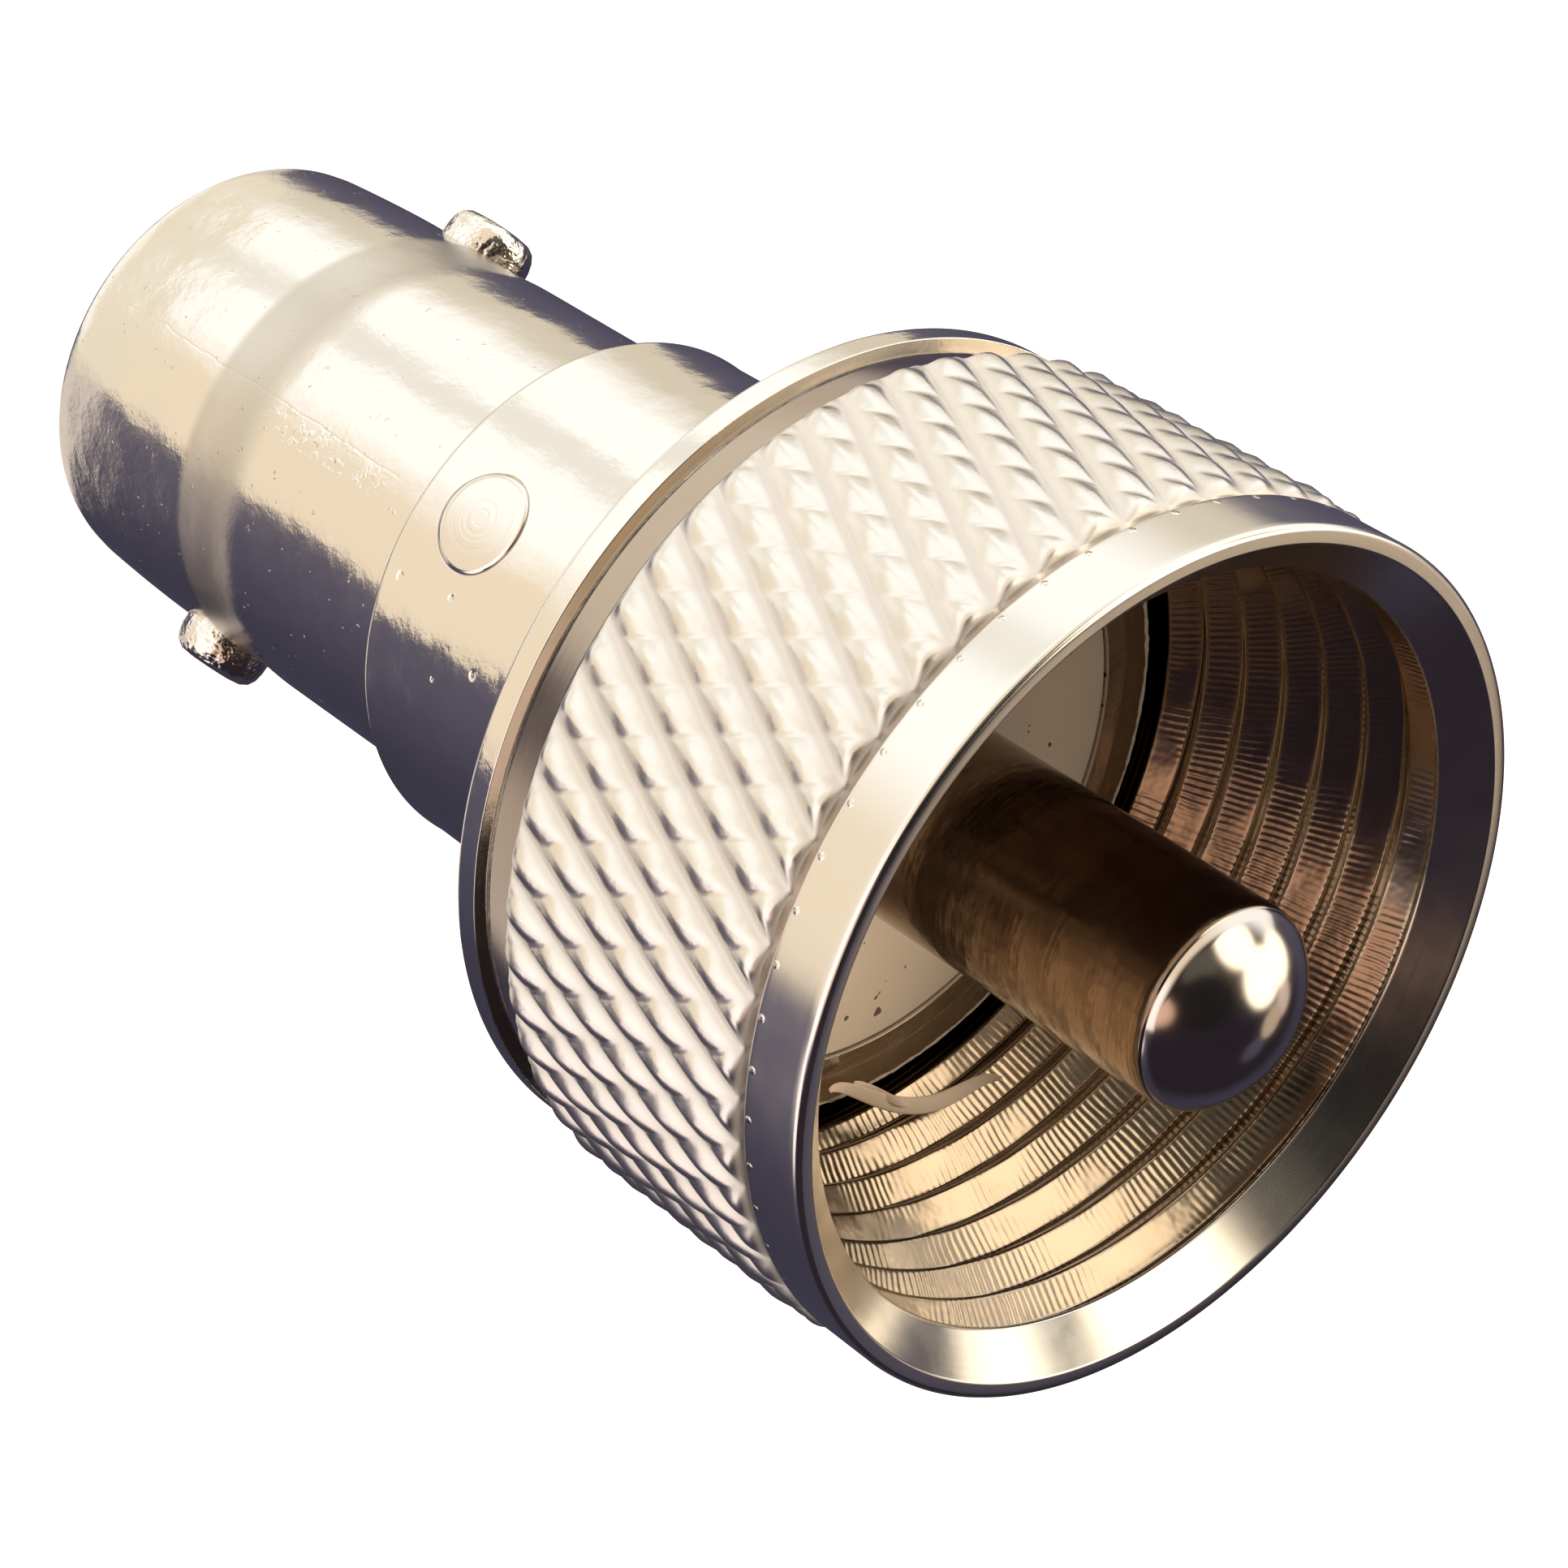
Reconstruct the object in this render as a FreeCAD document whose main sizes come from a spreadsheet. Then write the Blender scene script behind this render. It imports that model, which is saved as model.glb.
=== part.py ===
import FreeCAD, Part
import math
import os
import re
import Sketcher

# Adapter from a threaded radio plug to a bayonet jack, nickel plated.
# The axis of the adapter is +Z. The front rim of the jack lies on Z = 0, so the adapter stands
# on its jack with the mouth of the coupling nut upwards. The bayonet lugs point along X and the
# locking pin looks towards -Y. Lengths are millimetres.

os.makedirs("parts", exist_ok=True)
doc = FreeCAD.newDocument("radio_adapter")

SIZES = {
    # bayonet jack, from its front rim upwards
    "nose_radius": 4.8,
    "nose_length": 5.0,
    "groove_width": 1.2,
    "groove_depth": 0.14,
    "groove_side": 0.4,
    "barrel_length": 11.9,
    "rim_bevel": 0.25,
    "barrel_wall": 0.74,
    "jack_lead_in": 0.14,
    "jack_shoulder_depth": 5.8,
    "jack_shoulder_thickness": 1.0,
    "tail_step": 0.5,
    "tail_wall": 1.0,
    "tail_length": 3.3,
    # bayonet lugs
    "lug_radius": 1.0,
    "lug_height": 4.1,
    "lug_stand_out": 0.66,
    "lug_bevel": 0.25,
    "lug_cover": 0.04,
    # insulators
    "dielectric_radius": 2.4,
    "dielectric_recess": 0.3,
    "disc_thickness": 1.92,
    "disc_recess": 0.08,
    # body with collar and flange
    "collar_wall": 1.1,
    "body_length": 7.53,
    "flange_radius": 8.34,
    "flange_edge": 0.53,
    # ring that holds the nut
    "spigot_wall": 0.42,
    "bush_wall": 0.3,
    "ring_gap": 0.35,
    "ring_head_width": 0.75,
    "ring_head_thickness": 0.4,
    # coupling nut
    "nut_gap": 0.05,
    "nut_turning_gap": 0.1,
    "nut_end_play": 0.2,
    "lip_thickness": 0.5,
    "neck_inset": 0.14,
    "neck_length": 0.92,
    "neck_edge_break": 0.15,
    "knurl_inset": 0.04,
    "knurl_height": 0.38,
    "knurl_length": 6.4,
    "knurl_columns": 54,
    "knurl_rows": 6,
    "gap_width": 0.2,
    "gap_inset": 0.19,
    "band_stand_out": 0.11,
    "band_length": 1.4,
    "band_bevel": 0.3,
    "relief_depth": 0.5,
    "relief_length": 0.6,
    "thread_run_in": 0.185,
    "thread_turns": 6,
    "thread_cut_width": 0.64,
    "thread_cut_depth": 0.5,
    "thread_sides": 36,
    "thread_start": 180,
    "nut_wall": 0.94,
    "mouth_flare": 0.55,
    "mouth_depth": 0.6,
    # contacts
    "pin_radius": 2.0,
    "pin_reach": 9.2,
    "pin_dome_height": 1.05,
    "pin_root_step": 0.25,
    "pin_shoulder": 0.7,
    "pin_shoulder_thickness": 1.2,
    "stem_radius": 0.8,
    "stem_length": 2.8,
    "socket_radius": 1.1,
    "socket_recess": 0.6,
    "socket_bore_radius": 0.68,
    "socket_bore_depth": 5.5,
    "socket_slot_width": 0.2,
    "socket_slot_length": 3.2,
    "socket_slot_count": 4,
    "socket_collar_radius": 1.4,
    "socket_collar_thickness": 1.3,
    "socket_finger_gap": 0.05,
    # locking pin
    "lock_radius": 1.02,
    "lock_offset": 1.77,
    "lock_gap": 0.03,
    "lock_inner_gap": 0.1,
    "lock_recess": 0.1,
}
SAME_PLACE = 1e-4
FULL_TURN = 360
QUARTER_TURN = 90

sheet = doc.addObject("Spreadsheet::Sheet", "Sizes")
for row, (size_name, size) in enumerate(SIZES.items(), 1):
    sheet.set("A%d" % row, size_name)
    sheet.set("B%d" % row, str(size))
    sheet.setAlias("B%d" % row, size_name)
doc.recompute()

# Radii and heights worked out from the sizes. Each may use the ones above it.
WORKED_OUT = {
    "jack_bore_radius": "nose_radius - barrel_wall",
    "tail_radius": "nose_radius - tail_step",
    "core_radius": "tail_radius - tail_wall",
    "collar_radius": "tail_radius + collar_wall",
    "pin_root_radius": "pin_radius - pin_root_step",
    "pin_shoulder_radius": "pin_radius + pin_shoulder",
    "thread_radius": "flange_radius - nut_wall",
    "relief_radius": "thread_radius + relief_depth",
    "mouth_radius": "thread_radius + mouth_flare",
    "neck_radius": "flange_radius - neck_inset",
    "knurl_root_radius": "flange_radius - knurl_inset",
    "gap_radius": "flange_radius - gap_inset",
    "band_radius": "flange_radius + band_stand_out",
    "ring_head_radius": "thread_radius - ring_gap",
    "spigot_radius": "ring_head_radius - ring_head_width",
    "disc_radius": "spigot_radius - spigot_wall",
    "groove_end": "nose_length + groove_width",
    "shoulder_back": "jack_shoulder_depth + jack_shoulder_thickness",
    "lock_height": "barrel_length + lock_offset",
    "tail_end": "barrel_length + tail_length",
    "body_face": "barrel_length + body_length",
    "flange_back": "body_face - flange_edge",
    "nut_back": "body_face + nut_gap",
    "lip_front": "nut_back + lip_thickness",
    "head_back": "lip_front + nut_end_play",
    "ring_front": "head_back + ring_head_thickness",
    "disc_front": "ring_front - disc_recess",
    "disc_back": "disc_front - disc_thickness",
    "pin_shaft_end": "disc_front + pin_reach",
    "knurl_back": "nut_back + neck_length",
    "knurl_front": "knurl_back + knurl_length",
    "band_back": "knurl_front + gap_width",
    "nut_front": "band_back + band_length",
    "relief_end": "lip_front + relief_length + relief_depth",
    "mouth_back": "nut_front - mouth_depth",
    "thread_length": "mouth_back - relief_end - 2 * thread_run_in",
}


def spelled(expression):
    """The expression with the worked-out names spelled out and each size named in the sheet."""
    for name in reversed(WORKED_OUT):
        expression = re.sub(r"\b%s\b" % name, "(%s)" % WORKED_OUT[name], expression)
    return re.sub(r"\b[a-z]+(_[a-z]+)+\b", lambda found: "Sizes." + found.group(), expression)


def value(expression):
    """The number that an expression of sizes and heights comes to."""
    return float(sheet.evalExpression(spelled(expression)))


def origin_feature(body, role):
    """The plane or axis of the body's own origin that has this role."""
    return next(item for item in body.Origin.OriginFeatures if item.Role == role)


def new_body(name):
    body = doc.addObject("PartDesign::Body", name)
    body.Label = name
    return body


def new_sketch(body, name, role):
    sketch = body.newObject("Sketcher::SketchObject", name)
    sketch.AttachmentSupport = (origin_feature(body, role), "")
    sketch.MapMode = "FlatFace"
    return sketch


def tie(sketch, kind, geometry, point, expression):
    """Holds one coordinate of a sketch point at an expression of the sheet."""
    size = value(expression)
    if abs(size) < SAME_PLACE:
        axis = -2 if kind == "DistanceX" else -1
        sketch.addConstraint(Sketcher.Constraint("PointOnObject", geometry, point, axis))
        return
    held = sketch.addConstraint(Sketcher.Constraint(kind, -1, 1, geometry, point, size))
    sketch.setExpression("Constraints[%d]" % held, spelled(expression))


def closed_outline(sketch, corners):
    """Draws a closed outline through (radius, height) corners, each tied to the sheet.

    A corner with a third entry (radius, height) starts an arc about that centre.
    """
    places = [FreeCAD.Vector(value(corner[0]), value(corner[1]), 0) for corner in corners]
    ends = []
    for index, corner in enumerate(corners):
        start = places[index]
        finish = places[(index + 1) % len(corners)]
        if len(corner) == 2:
            sketch.addGeometry(Part.LineSegment(start, finish), False)
            ends.append((1, 2))
            continue
        centre = FreeCAD.Vector(value(corner[2][0]), value(corner[2][1]), 0)
        first = math.atan2(start.y - centre.y, start.x - centre.x)
        last = math.atan2(finish.y - centre.y, finish.x - centre.x)
        backwards = (last - first) % (2 * math.pi) > math.pi
        if backwards:
            first, last = last, first
        circle = Part.Circle(centre, FreeCAD.Vector(0, 0, 1), (start - centre).Length)
        sketch.addGeometry(Part.ArcOfCircle(circle, first, last), False)
        ends.append((2, 1) if backwards else (1, 2))
    for index, corner in enumerate(corners):
        following = (index + 1) % len(corners)
        sketch.addConstraint(Sketcher.Constraint(
            "Coincident", index, ends[index][1], following, ends[following][0]))
        tie(sketch, "DistanceX", index, ends[index][0], corner[0])
        tie(sketch, "DistanceY", index, ends[index][0], corner[1])
        if len(corner) == 3:
            tie(sketch, "DistanceX", index, 3, corner[2][0])


def turned(body, name, corners):
    """Turns a closed outline of (radius, height) corners about the body's Z axis."""
    sketch = new_sketch(body, name + "_outline", "XZ_Plane")
    closed_outline(sketch, corners)
    revolution = body.newObject("PartDesign::Revolution", name + "_turning")
    revolution.Profile = sketch
    revolution.ReferenceAxis = (sketch, ["V_Axis"])
    revolution.Angle = FULL_TURN
    doc.recompute()
    return revolution


def rings(shape, places):
    """Names of the full circles about Z that have one of the given radii and heights."""
    found = []
    for number, edge in enumerate(shape.Edges, 1):
        if edge.Degenerated or not isinstance(edge.Curve, Part.Circle):
            continue
        centre = edge.Curve.Center
        for radius, height in places:
            same_radius = abs(edge.Curve.Radius - value(radius)) < SAME_PLACE
            same_height = abs(centre.z - value(height)) < SAME_PLACE
            if same_radius and same_height and math.hypot(centre.x, centre.y) < SAME_PLACE:
                found.append("Edge%d" % number)
    return found


def bevel_rings(body, base, size_name, places):
    chamfer = body.newObject("PartDesign::Chamfer", size_name)
    chamfer.Base = (base, rings(base.Shape, places))
    chamfer.setExpression("Size", spelled(size_name))
    doc.recompute()
    return chamfer


def side_hole(body, name, role, across, up, radius, length, reverse):
    """Drills a round hole from the axis outwards, through the wall on one side."""
    sketch = new_sketch(body, name + "_circle", role)
    centre = FreeCAD.Vector(value(across), value(up), 0)
    sketch.addGeometry(Part.Circle(centre, FreeCAD.Vector(0, 0, 1), value(radius)), False)
    tie(sketch, "DistanceX", 0, 3, across)
    tie(sketch, "DistanceY", 0, 3, up)
    held = sketch.addConstraint(Sketcher.Constraint("Radius", 0, value(radius)))
    sketch.setExpression("Constraints[%d]" % held, spelled(radius))
    before = body.Shape.Volume
    pocket = body.newObject("PartDesign::Pocket", name)
    pocket.Profile = sketch
    pocket.Type = 0
    pocket.setExpression("Length", spelled(length))
    pocket.Reversed = reverse
    doc.recompute()
    if body.Shape.Volume > before - SAME_PLACE:
        raise ValueError(name + " cuts nothing")
    return pocket


def jack_shell():
    """Cast barrel of the jack: nose, soft groove, sleeve, and a tail that sits in the body."""
    body = new_body("jack_shell")
    turning = turned(body, "barrel", [
        ("jack_bore_radius + jack_lead_in", "0"),
        ("nose_radius", "0"),
        ("nose_radius", "nose_length"),
        ("nose_radius - groove_depth", "nose_length + groove_side"),
        ("nose_radius - groove_depth", "groove_end - groove_side"),
        ("nose_radius", "groove_end"),
        ("nose_radius", "barrel_length"),
        ("tail_radius", "barrel_length"),
        ("tail_radius", "tail_end"),
        ("core_radius", "tail_end"),
        ("core_radius", "shoulder_back"),
        ("dielectric_radius", "shoulder_back"),
        ("dielectric_radius", "jack_shoulder_depth"),
        ("jack_bore_radius", "jack_shoulder_depth"),
        ("jack_bore_radius", "jack_lead_in"),
    ])
    bevel_rings(body, turning, "rim_bevel", [("nose_radius", "0")])
    for side, reverse in (("right", False), ("left", True)):
        side_hole(body, "lug_hole_" + side, "YZ_Plane", "0", "lug_height", "lug_radius",
                  "nose_radius + lug_stand_out", not reverse)
    side_hole(body, "lock_hole_in_tail", "XZ_Plane", "0", "lock_height", "lock_radius",
              "tail_radius + lock_gap", True)
    return body


def bayonet_lug(name, turn):
    """Round stud pressed through the barrel wall, with a bevelled head."""
    body = new_body(name)
    inner_end = "jack_bore_radius + lug_cover"
    outer_end = "nose_radius + lug_stand_out"
    turning = turned(body, name, [
        ("0", inner_end),
        ("lug_radius", inner_end),
        ("lug_radius", outer_end),
        ("0", outer_end),
    ])
    bevel_rings(body, turning, "lug_bevel", [("lug_radius", outer_end)])
    body.Placement.Rotation = FreeCAD.Rotation(FreeCAD.Vector(0, 1, 0), turn)
    body.setExpression("Placement.Base.z", spelled("lug_height"))
    return body


def adapter_body():
    """Turned body: collar round the barrel's tail, hollow flare, flange and spigot."""
    body = new_body("adapter_body")
    turned(body, "body", [
        ("tail_radius", "barrel_length"),
        ("collar_radius", "barrel_length"),
        ("collar_radius", "flange_back - flange_radius + collar_radius",
         ("flange_radius", "flange_back - flange_radius + collar_radius")),
        ("flange_radius", "flange_back"),
        ("flange_radius", "body_face"),
        ("spigot_radius", "body_face"),
        ("spigot_radius", "ring_front"),
        ("disc_radius", "ring_front"),
        ("disc_radius", "disc_back"),
        ("tail_radius", "disc_back"),
    ])
    side_hole(body, "lock_hole_in_collar", "XZ_Plane", "0", "lock_height",
              "lock_radius + lock_gap", "collar_radius + lock_gap", True)
    return body


def locking_pin():
    """Round pin through the collar into the barrel's tail."""
    body = new_body("locking_pin")
    turned(body, "locking_pin", [
        ("0", "core_radius + lock_inner_gap"),
        ("lock_radius", "core_radius + lock_inner_gap"),
        ("lock_radius", "collar_radius - lock_recess"),
        ("0", "collar_radius - lock_recess"),
    ])
    body.Placement.Rotation = FreeCAD.Rotation(FreeCAD.Vector(1, 0, 0), QUARTER_TURN)
    body.setExpression("Placement.Base.z", spelled("lock_height"))
    return body


def contact_ring():
    """Flanged ring pressed on the spigot: its bush carries the nut's lip, its head holds it."""
    body = new_body("contact_ring")
    turned(body, "ring", [
        ("spigot_radius", "body_face"),
        ("spigot_radius + bush_wall", "body_face"),
        ("spigot_radius + bush_wall", "head_back"),
        ("ring_head_radius", "head_back"),
        ("ring_head_radius", "ring_front"),
        ("spigot_radius", "ring_front"),
    ])
    return body


def coupling_insulator():
    """White disc that centres the pin in the body, with a boss down to the barrel's tail."""
    body = new_body("coupling_insulator")
    turned(body, "disc", [
        ("pin_root_radius", "tail_end + pin_shoulder_thickness"),
        ("pin_shoulder_radius", "tail_end + pin_shoulder_thickness"),
        ("pin_shoulder_radius", "tail_end"),
        ("tail_radius", "tail_end"),
        ("tail_radius", "disc_back"),
        ("disc_radius", "disc_back"),
        ("disc_radius", "disc_front"),
        ("pin_root_radius", "disc_front"),
    ])
    return body


def jack_insulator():
    """White core of the jack: a nose that stands up in the bore and a body behind the shoulder."""
    body = new_body("jack_insulator")
    bore = "socket_radius + socket_finger_gap"
    turned(body, "core", [
        (bore, "dielectric_recess"),
        ("dielectric_radius", "dielectric_recess"),
        ("dielectric_radius", "shoulder_back"),
        ("core_radius", "shoulder_back"),
        ("core_radius", "tail_end"),
        ("socket_collar_radius", "tail_end"),
        ("socket_collar_radius", "tail_end - socket_collar_thickness"),
        (bore, "tail_end - socket_collar_thickness"),
    ])
    return body


def centre_pin():
    """Solid contact of the plug side: shoulder, root in the disc, plain shaft and domed tip."""
    body = new_body("centre_pin")
    sphere = "(pin_radius * pin_radius + pin_dome_height * pin_dome_height) / (2 * pin_dome_height)"
    turned(body, "pin", [
        ("0", "tail_end + stem_length"),
        ("stem_radius", "tail_end + stem_length"),
        ("stem_radius", "tail_end"),
        ("pin_shoulder_radius", "tail_end"),
        ("pin_shoulder_radius", "tail_end + pin_shoulder_thickness"),
        ("pin_root_radius", "tail_end + pin_shoulder_thickness"),
        ("pin_root_radius", "disc_front"),
        ("pin_radius", "disc_front"),
        ("pin_radius", "pin_shaft_end",
         ("0", "pin_shaft_end + pin_dome_height - " + sphere)),
        ("0", "pin_shaft_end + pin_dome_height"),
    ])
    return body


def socket_contact():
    """Slotted spring socket of the jack side, with a stem that is pressed into the pin."""
    body = new_body("socket_contact")
    turned(body, "socket", [
        ("0", "socket_recess + socket_bore_depth"),
        ("socket_bore_radius", "socket_recess + socket_bore_depth"),
        ("socket_bore_radius", "socket_recess"),
        ("socket_radius", "socket_recess"),
        ("socket_radius", "tail_end - socket_collar_thickness"),
        ("socket_collar_radius", "tail_end - socket_collar_thickness"),
        ("socket_collar_radius", "tail_end"),
        ("stem_radius", "tail_end"),
        ("stem_radius", "tail_end + stem_length"),
        ("0", "tail_end + stem_length"),
    ])
    sketch = new_sketch(body, "slot_outline", "XZ_Plane")
    closed_outline(sketch, [
        ("-socket_slot_width / 2", "socket_recess - socket_slot_width"),
        ("socket_slot_width / 2", "socket_recess - socket_slot_width"),
        ("socket_slot_width / 2", "socket_recess + socket_slot_length"),
        ("-socket_slot_width / 2", "socket_recess + socket_slot_length"),
    ])
    slot = body.newObject("PartDesign::Pocket", "slot")
    slot.Profile = sketch
    slot.Type = 0
    slot.setExpression("Length", spelled("socket_radius + socket_finger_gap"))
    pattern = body.newObject("PartDesign::PolarPattern", "slots")
    pattern.Originals = [slot]
    pattern.Axis = (origin_feature(body, "Z_Axis"), [""])
    pattern.Angle = FULL_TURN
    pattern.setExpression("Occurrences", spelled("socket_slot_count"))
    body.Tip = pattern
    doc.recompute()
    return body


def knurl_faces(back, front):
    """Three-sided faces of the diamond knurl between two heights, with its two end outlines.

    Rows of points run round the nut. Along a row tips and groove crossings take turns, and
    the next row is shifted by one, so each tip stands in a diamond of four crossings.
    """
    rows = int(value("knurl_rows"))
    steps = 2 * int(value("knurl_columns"))
    root = value("knurl_root_radius")
    tip = root + value("knurl_height")

    def point(row, step):
        radius = tip if (row + step) % 2 == 0 else root
        turn = 2 * math.pi * (step % steps) / steps
        height = back + (front - back) * row / rows
        return FreeCAD.Vector(radius * math.cos(turn), radius * math.sin(turn), height)

    faces = []
    for row in range(rows):
        for step in range(steps):
            low_left, low_right = point(row, step), point(row, step + 1)
            high_left, high_right = point(row + 1, step), point(row + 1, step + 1)
            if (row + step) % 2 == 0:
                halves = ((low_left, low_right, high_left), (low_right, high_right, high_left))
            else:
                halves = ((low_left, low_right, high_right), (low_left, high_right, high_left))
            for half in halves:
                faces.append(Part.Face(Part.makePolygon(list(half) + [half[0]])))
    outlines = [
        Part.makePolygon([point(row, step) for step in range(steps + 1)]) for row in (0, rows)
    ]
    return faces, outlines


def thread_faces():
    """Flat faces of the nut's tapped bore, from the lip to the mouth, with its two end outlines.

    Upright lines divide the bore into narrow sides. The cut of the right-hand thread climbs
    one pitch in a turn. It opens from a point in its first quarter turn and closes to a point
    in its last, so on the starting line one turn ends below and one above all the others.
    """
    sides = int(value("thread_sides"))
    turns = int(value("thread_turns"))
    crest, depth = value("thread_radius"), value("thread_cut_depth")
    first, pitch = value("relief_end + thread_run_in"), value("thread_length") / turns
    wall = [(value(radius), value(height)) for radius, height in (
        ("relief_radius", "lip_front"),
        ("relief_radius", "lip_front + relief_length"),
        ("thread_radius", "relief_end"),
        ("thread_radius", "mouth_back"),
        ("mouth_radius", "nut_front"),
    )]

    def point(side, radius, height):
        turn = math.radians(value("thread_start")) + 2 * math.pi * (side % sides) / sides
        return FreeCAD.Vector(radius * math.cos(turn), radius * math.sin(turn), height)

    def cut(side, step):
        """Lower edge, root and upper edge of the cut, at a count of sides along the thread."""
        along = step / sides
        opened = min(1, 4 * along, 4 * (turns - along))
        half = opened * value("thread_cut_width") / 2
        middle = first + pitch * along
        heights = (middle - half, middle, middle + half)
        radii = (crest, crest + depth * opened, crest)
        return [point(side, radius, height) for radius, height in zip(radii, heights)]

    def flat(corners):
        kept = [corner for index, corner in enumerate(corners)
                if corner.distanceToPoint(corners[index - 1]) > SAME_PLACE]
        if len(kept) > 2:
            faces.append(Part.Face(Part.makePolygon(kept + kept[:1])))

    faces = []
    for side in range(sides):
        pair = (side, side + 1)
        for (low_radius, low), (high_radius, high) in (wall[0:2], wall[1:3], wall[3:5]):
            flat([point(pair[0], low_radius, low), point(pair[1], low_radius, low),
                  point(pair[1], high_radius, high), point(pair[0], high_radius, high)])
        edges = [[point(one, *wall[2])] for one in pair]
        for turn in range(turns):
            cuts = [cut(one, turn * sides + one) for one in pair]
            if turn == 0 and side == sides - 1:
                edges[1].append(cut(0, 0)[0])
            flat(edges[0] + [cuts[0][0], cuts[1][0]] + edges[1][::-1])
            for lower in (0, 1):
                flat([cuts[0][lower], cuts[1][lower], cuts[1][lower + 1]])
                flat([cuts[0][lower], cuts[1][lower + 1], cuts[0][lower + 1]])
            edges = [[cuts[0][2]], [cuts[1][2]]]
        if side == 0:
            edges[0].append(cut(0, turns * sides)[0])
        flat(edges[0] + [point(pair[0], *wall[3]), point(pair[1], *wall[3])] + edges[1][::-1])
    outlines = [
        Part.makePolygon([point(side, *end) for side in range(sides + 1)])
        for end in (wall[0], wall[4])
    ]
    return faces, outlines


def coupling_nut():
    """Knurled and tapped nut: rear lip, neck, diamond knurl, thin gap and band at the mouth.

    The turned faces and the flat faces of knurl and thread meet at four flat rings. Each
    reaches from the circle of a turned face to an outline of flat faces.
    """
    back, front = value("knurl_back"), value("knurl_front")
    turned_parts = [[
        ("neck_radius", "knurl_back"),
        ("neck_radius", "nut_back + neck_edge_break"),
        ("neck_radius - neck_edge_break", "nut_back"),
        ("spigot_radius + bush_wall + nut_turning_gap", "nut_back"),
        ("spigot_radius + bush_wall + nut_turning_gap", "lip_front"),
    ], [
        ("band_radius - band_bevel", "nut_front"),
        ("band_radius", "nut_front - band_bevel"),
        ("band_radius", "band_back"),
        ("gap_radius", "band_back"),
        ("gap_radius", "knurl_front"),
    ]]
    axis = FreeCAD.Vector(0, 0, 1)
    turned_faces = []
    for corners in turned_parts:
        profile = Part.makePolygon([
            FreeCAD.Vector(value(radius), 0, value(height)) for radius, height in corners
        ])
        turned_faces += profile.revolve(FreeCAD.Vector(0, 0, 0), axis, FULL_TURN).Faces
    knurl, (back_outline, front_outline) = knurl_faces(back, front)
    thread, (lip_outline, mouth_outline) = thread_faces()
    flat_rings = []
    for outline, radius, height in (
        (back_outline, "neck_radius", back),
        (front_outline, "gap_radius", front),
        (lip_outline, "spigot_radius + bush_wall + nut_turning_gap", value("lip_front")),
        (mouth_outline, "band_radius - band_bevel", value("nut_front")),
    ):
        circle = Part.makeCircle(value(radius), FreeCAD.Vector(0, 0, height), axis)
        flat_rings.append(Part.makeFace([outline, Part.Wire(circle)], "Part::FaceMakerBullseye"))
    shell = Part.makeShell(turned_faces + knurl + thread + flat_rings)
    shell.sewShape()
    solid = Part.makeSolid(Part.Shell(shell.Faces))
    if solid.Volume < 0:
        solid.reverse()
    nut = doc.addObject("Part::Feature", "coupling_nut")
    nut.Label = "coupling_nut"
    nut.Shape = solid
    nut.Placement = FreeCAD.Placement()
    return nut


subparts = [
    jack_shell(),
    bayonet_lug("bayonet_lug_right", QUARTER_TURN),
    bayonet_lug("bayonet_lug_left", -QUARTER_TURN),
    adapter_body(),
    locking_pin(),
    contact_ring(),
    coupling_insulator(),
    jack_insulator(),
    centre_pin(),
    socket_contact(),
    coupling_nut(),
]
doc.recompute()

for item in doc.Objects:
    if "Invalid" in item.State or "Error" in item.State:
        raise ValueError("%s is %s" % (item.Label, item.State))
for subpart in subparts:
    if subpart.Shape.isNull() or not subpart.Shape.isValid():
        raise ValueError(subpart.Label + " has no valid shape")
for subpart in subparts:
    subpart.Shape.exportStep("parts/%s.step" % subpart.Label)
    print("%-20s %9.3f mm3  %d faces" % (
        subpart.Label, subpart.Shape.Volume, len(subpart.Shape.Faces)))
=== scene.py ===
import bpy
import numpy as np
from mathutils import Matrix, Vector


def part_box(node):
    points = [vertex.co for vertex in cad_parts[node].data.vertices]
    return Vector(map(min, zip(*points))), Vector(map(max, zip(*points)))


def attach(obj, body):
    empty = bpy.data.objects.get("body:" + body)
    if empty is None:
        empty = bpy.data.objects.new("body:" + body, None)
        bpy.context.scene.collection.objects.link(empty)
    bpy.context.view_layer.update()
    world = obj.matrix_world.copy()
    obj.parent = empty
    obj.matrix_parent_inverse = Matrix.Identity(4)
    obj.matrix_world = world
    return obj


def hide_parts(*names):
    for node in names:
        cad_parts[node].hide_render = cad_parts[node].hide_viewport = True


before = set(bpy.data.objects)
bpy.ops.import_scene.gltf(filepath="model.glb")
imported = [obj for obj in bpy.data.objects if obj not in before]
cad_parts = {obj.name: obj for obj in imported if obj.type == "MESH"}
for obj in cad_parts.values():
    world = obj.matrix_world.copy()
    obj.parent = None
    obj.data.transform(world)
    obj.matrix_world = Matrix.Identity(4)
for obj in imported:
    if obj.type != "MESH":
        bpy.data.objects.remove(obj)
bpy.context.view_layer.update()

MM = 0.001

# Stage: a pale level floor under the jack's rim, and the room that the plating mirrors.
# The camera stands where the photograph was taken from, above the mouth of the nut and
# turned on its side, so that the adapter's axis runs from the upper left to the lower right.

CAMERA_PLACE = np.array([1.32, -65.80, 73.52]) * MM
CAMERA_RIGHT = Vector((-0.5548, 0.5369, 0.6355))
CAMERA_UP = Vector((-0.8320, -0.3580, -0.4238))
LENS = 105.2
SENSOR = 36.0
SHIFT = (0.0254, -0.0005)

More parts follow.
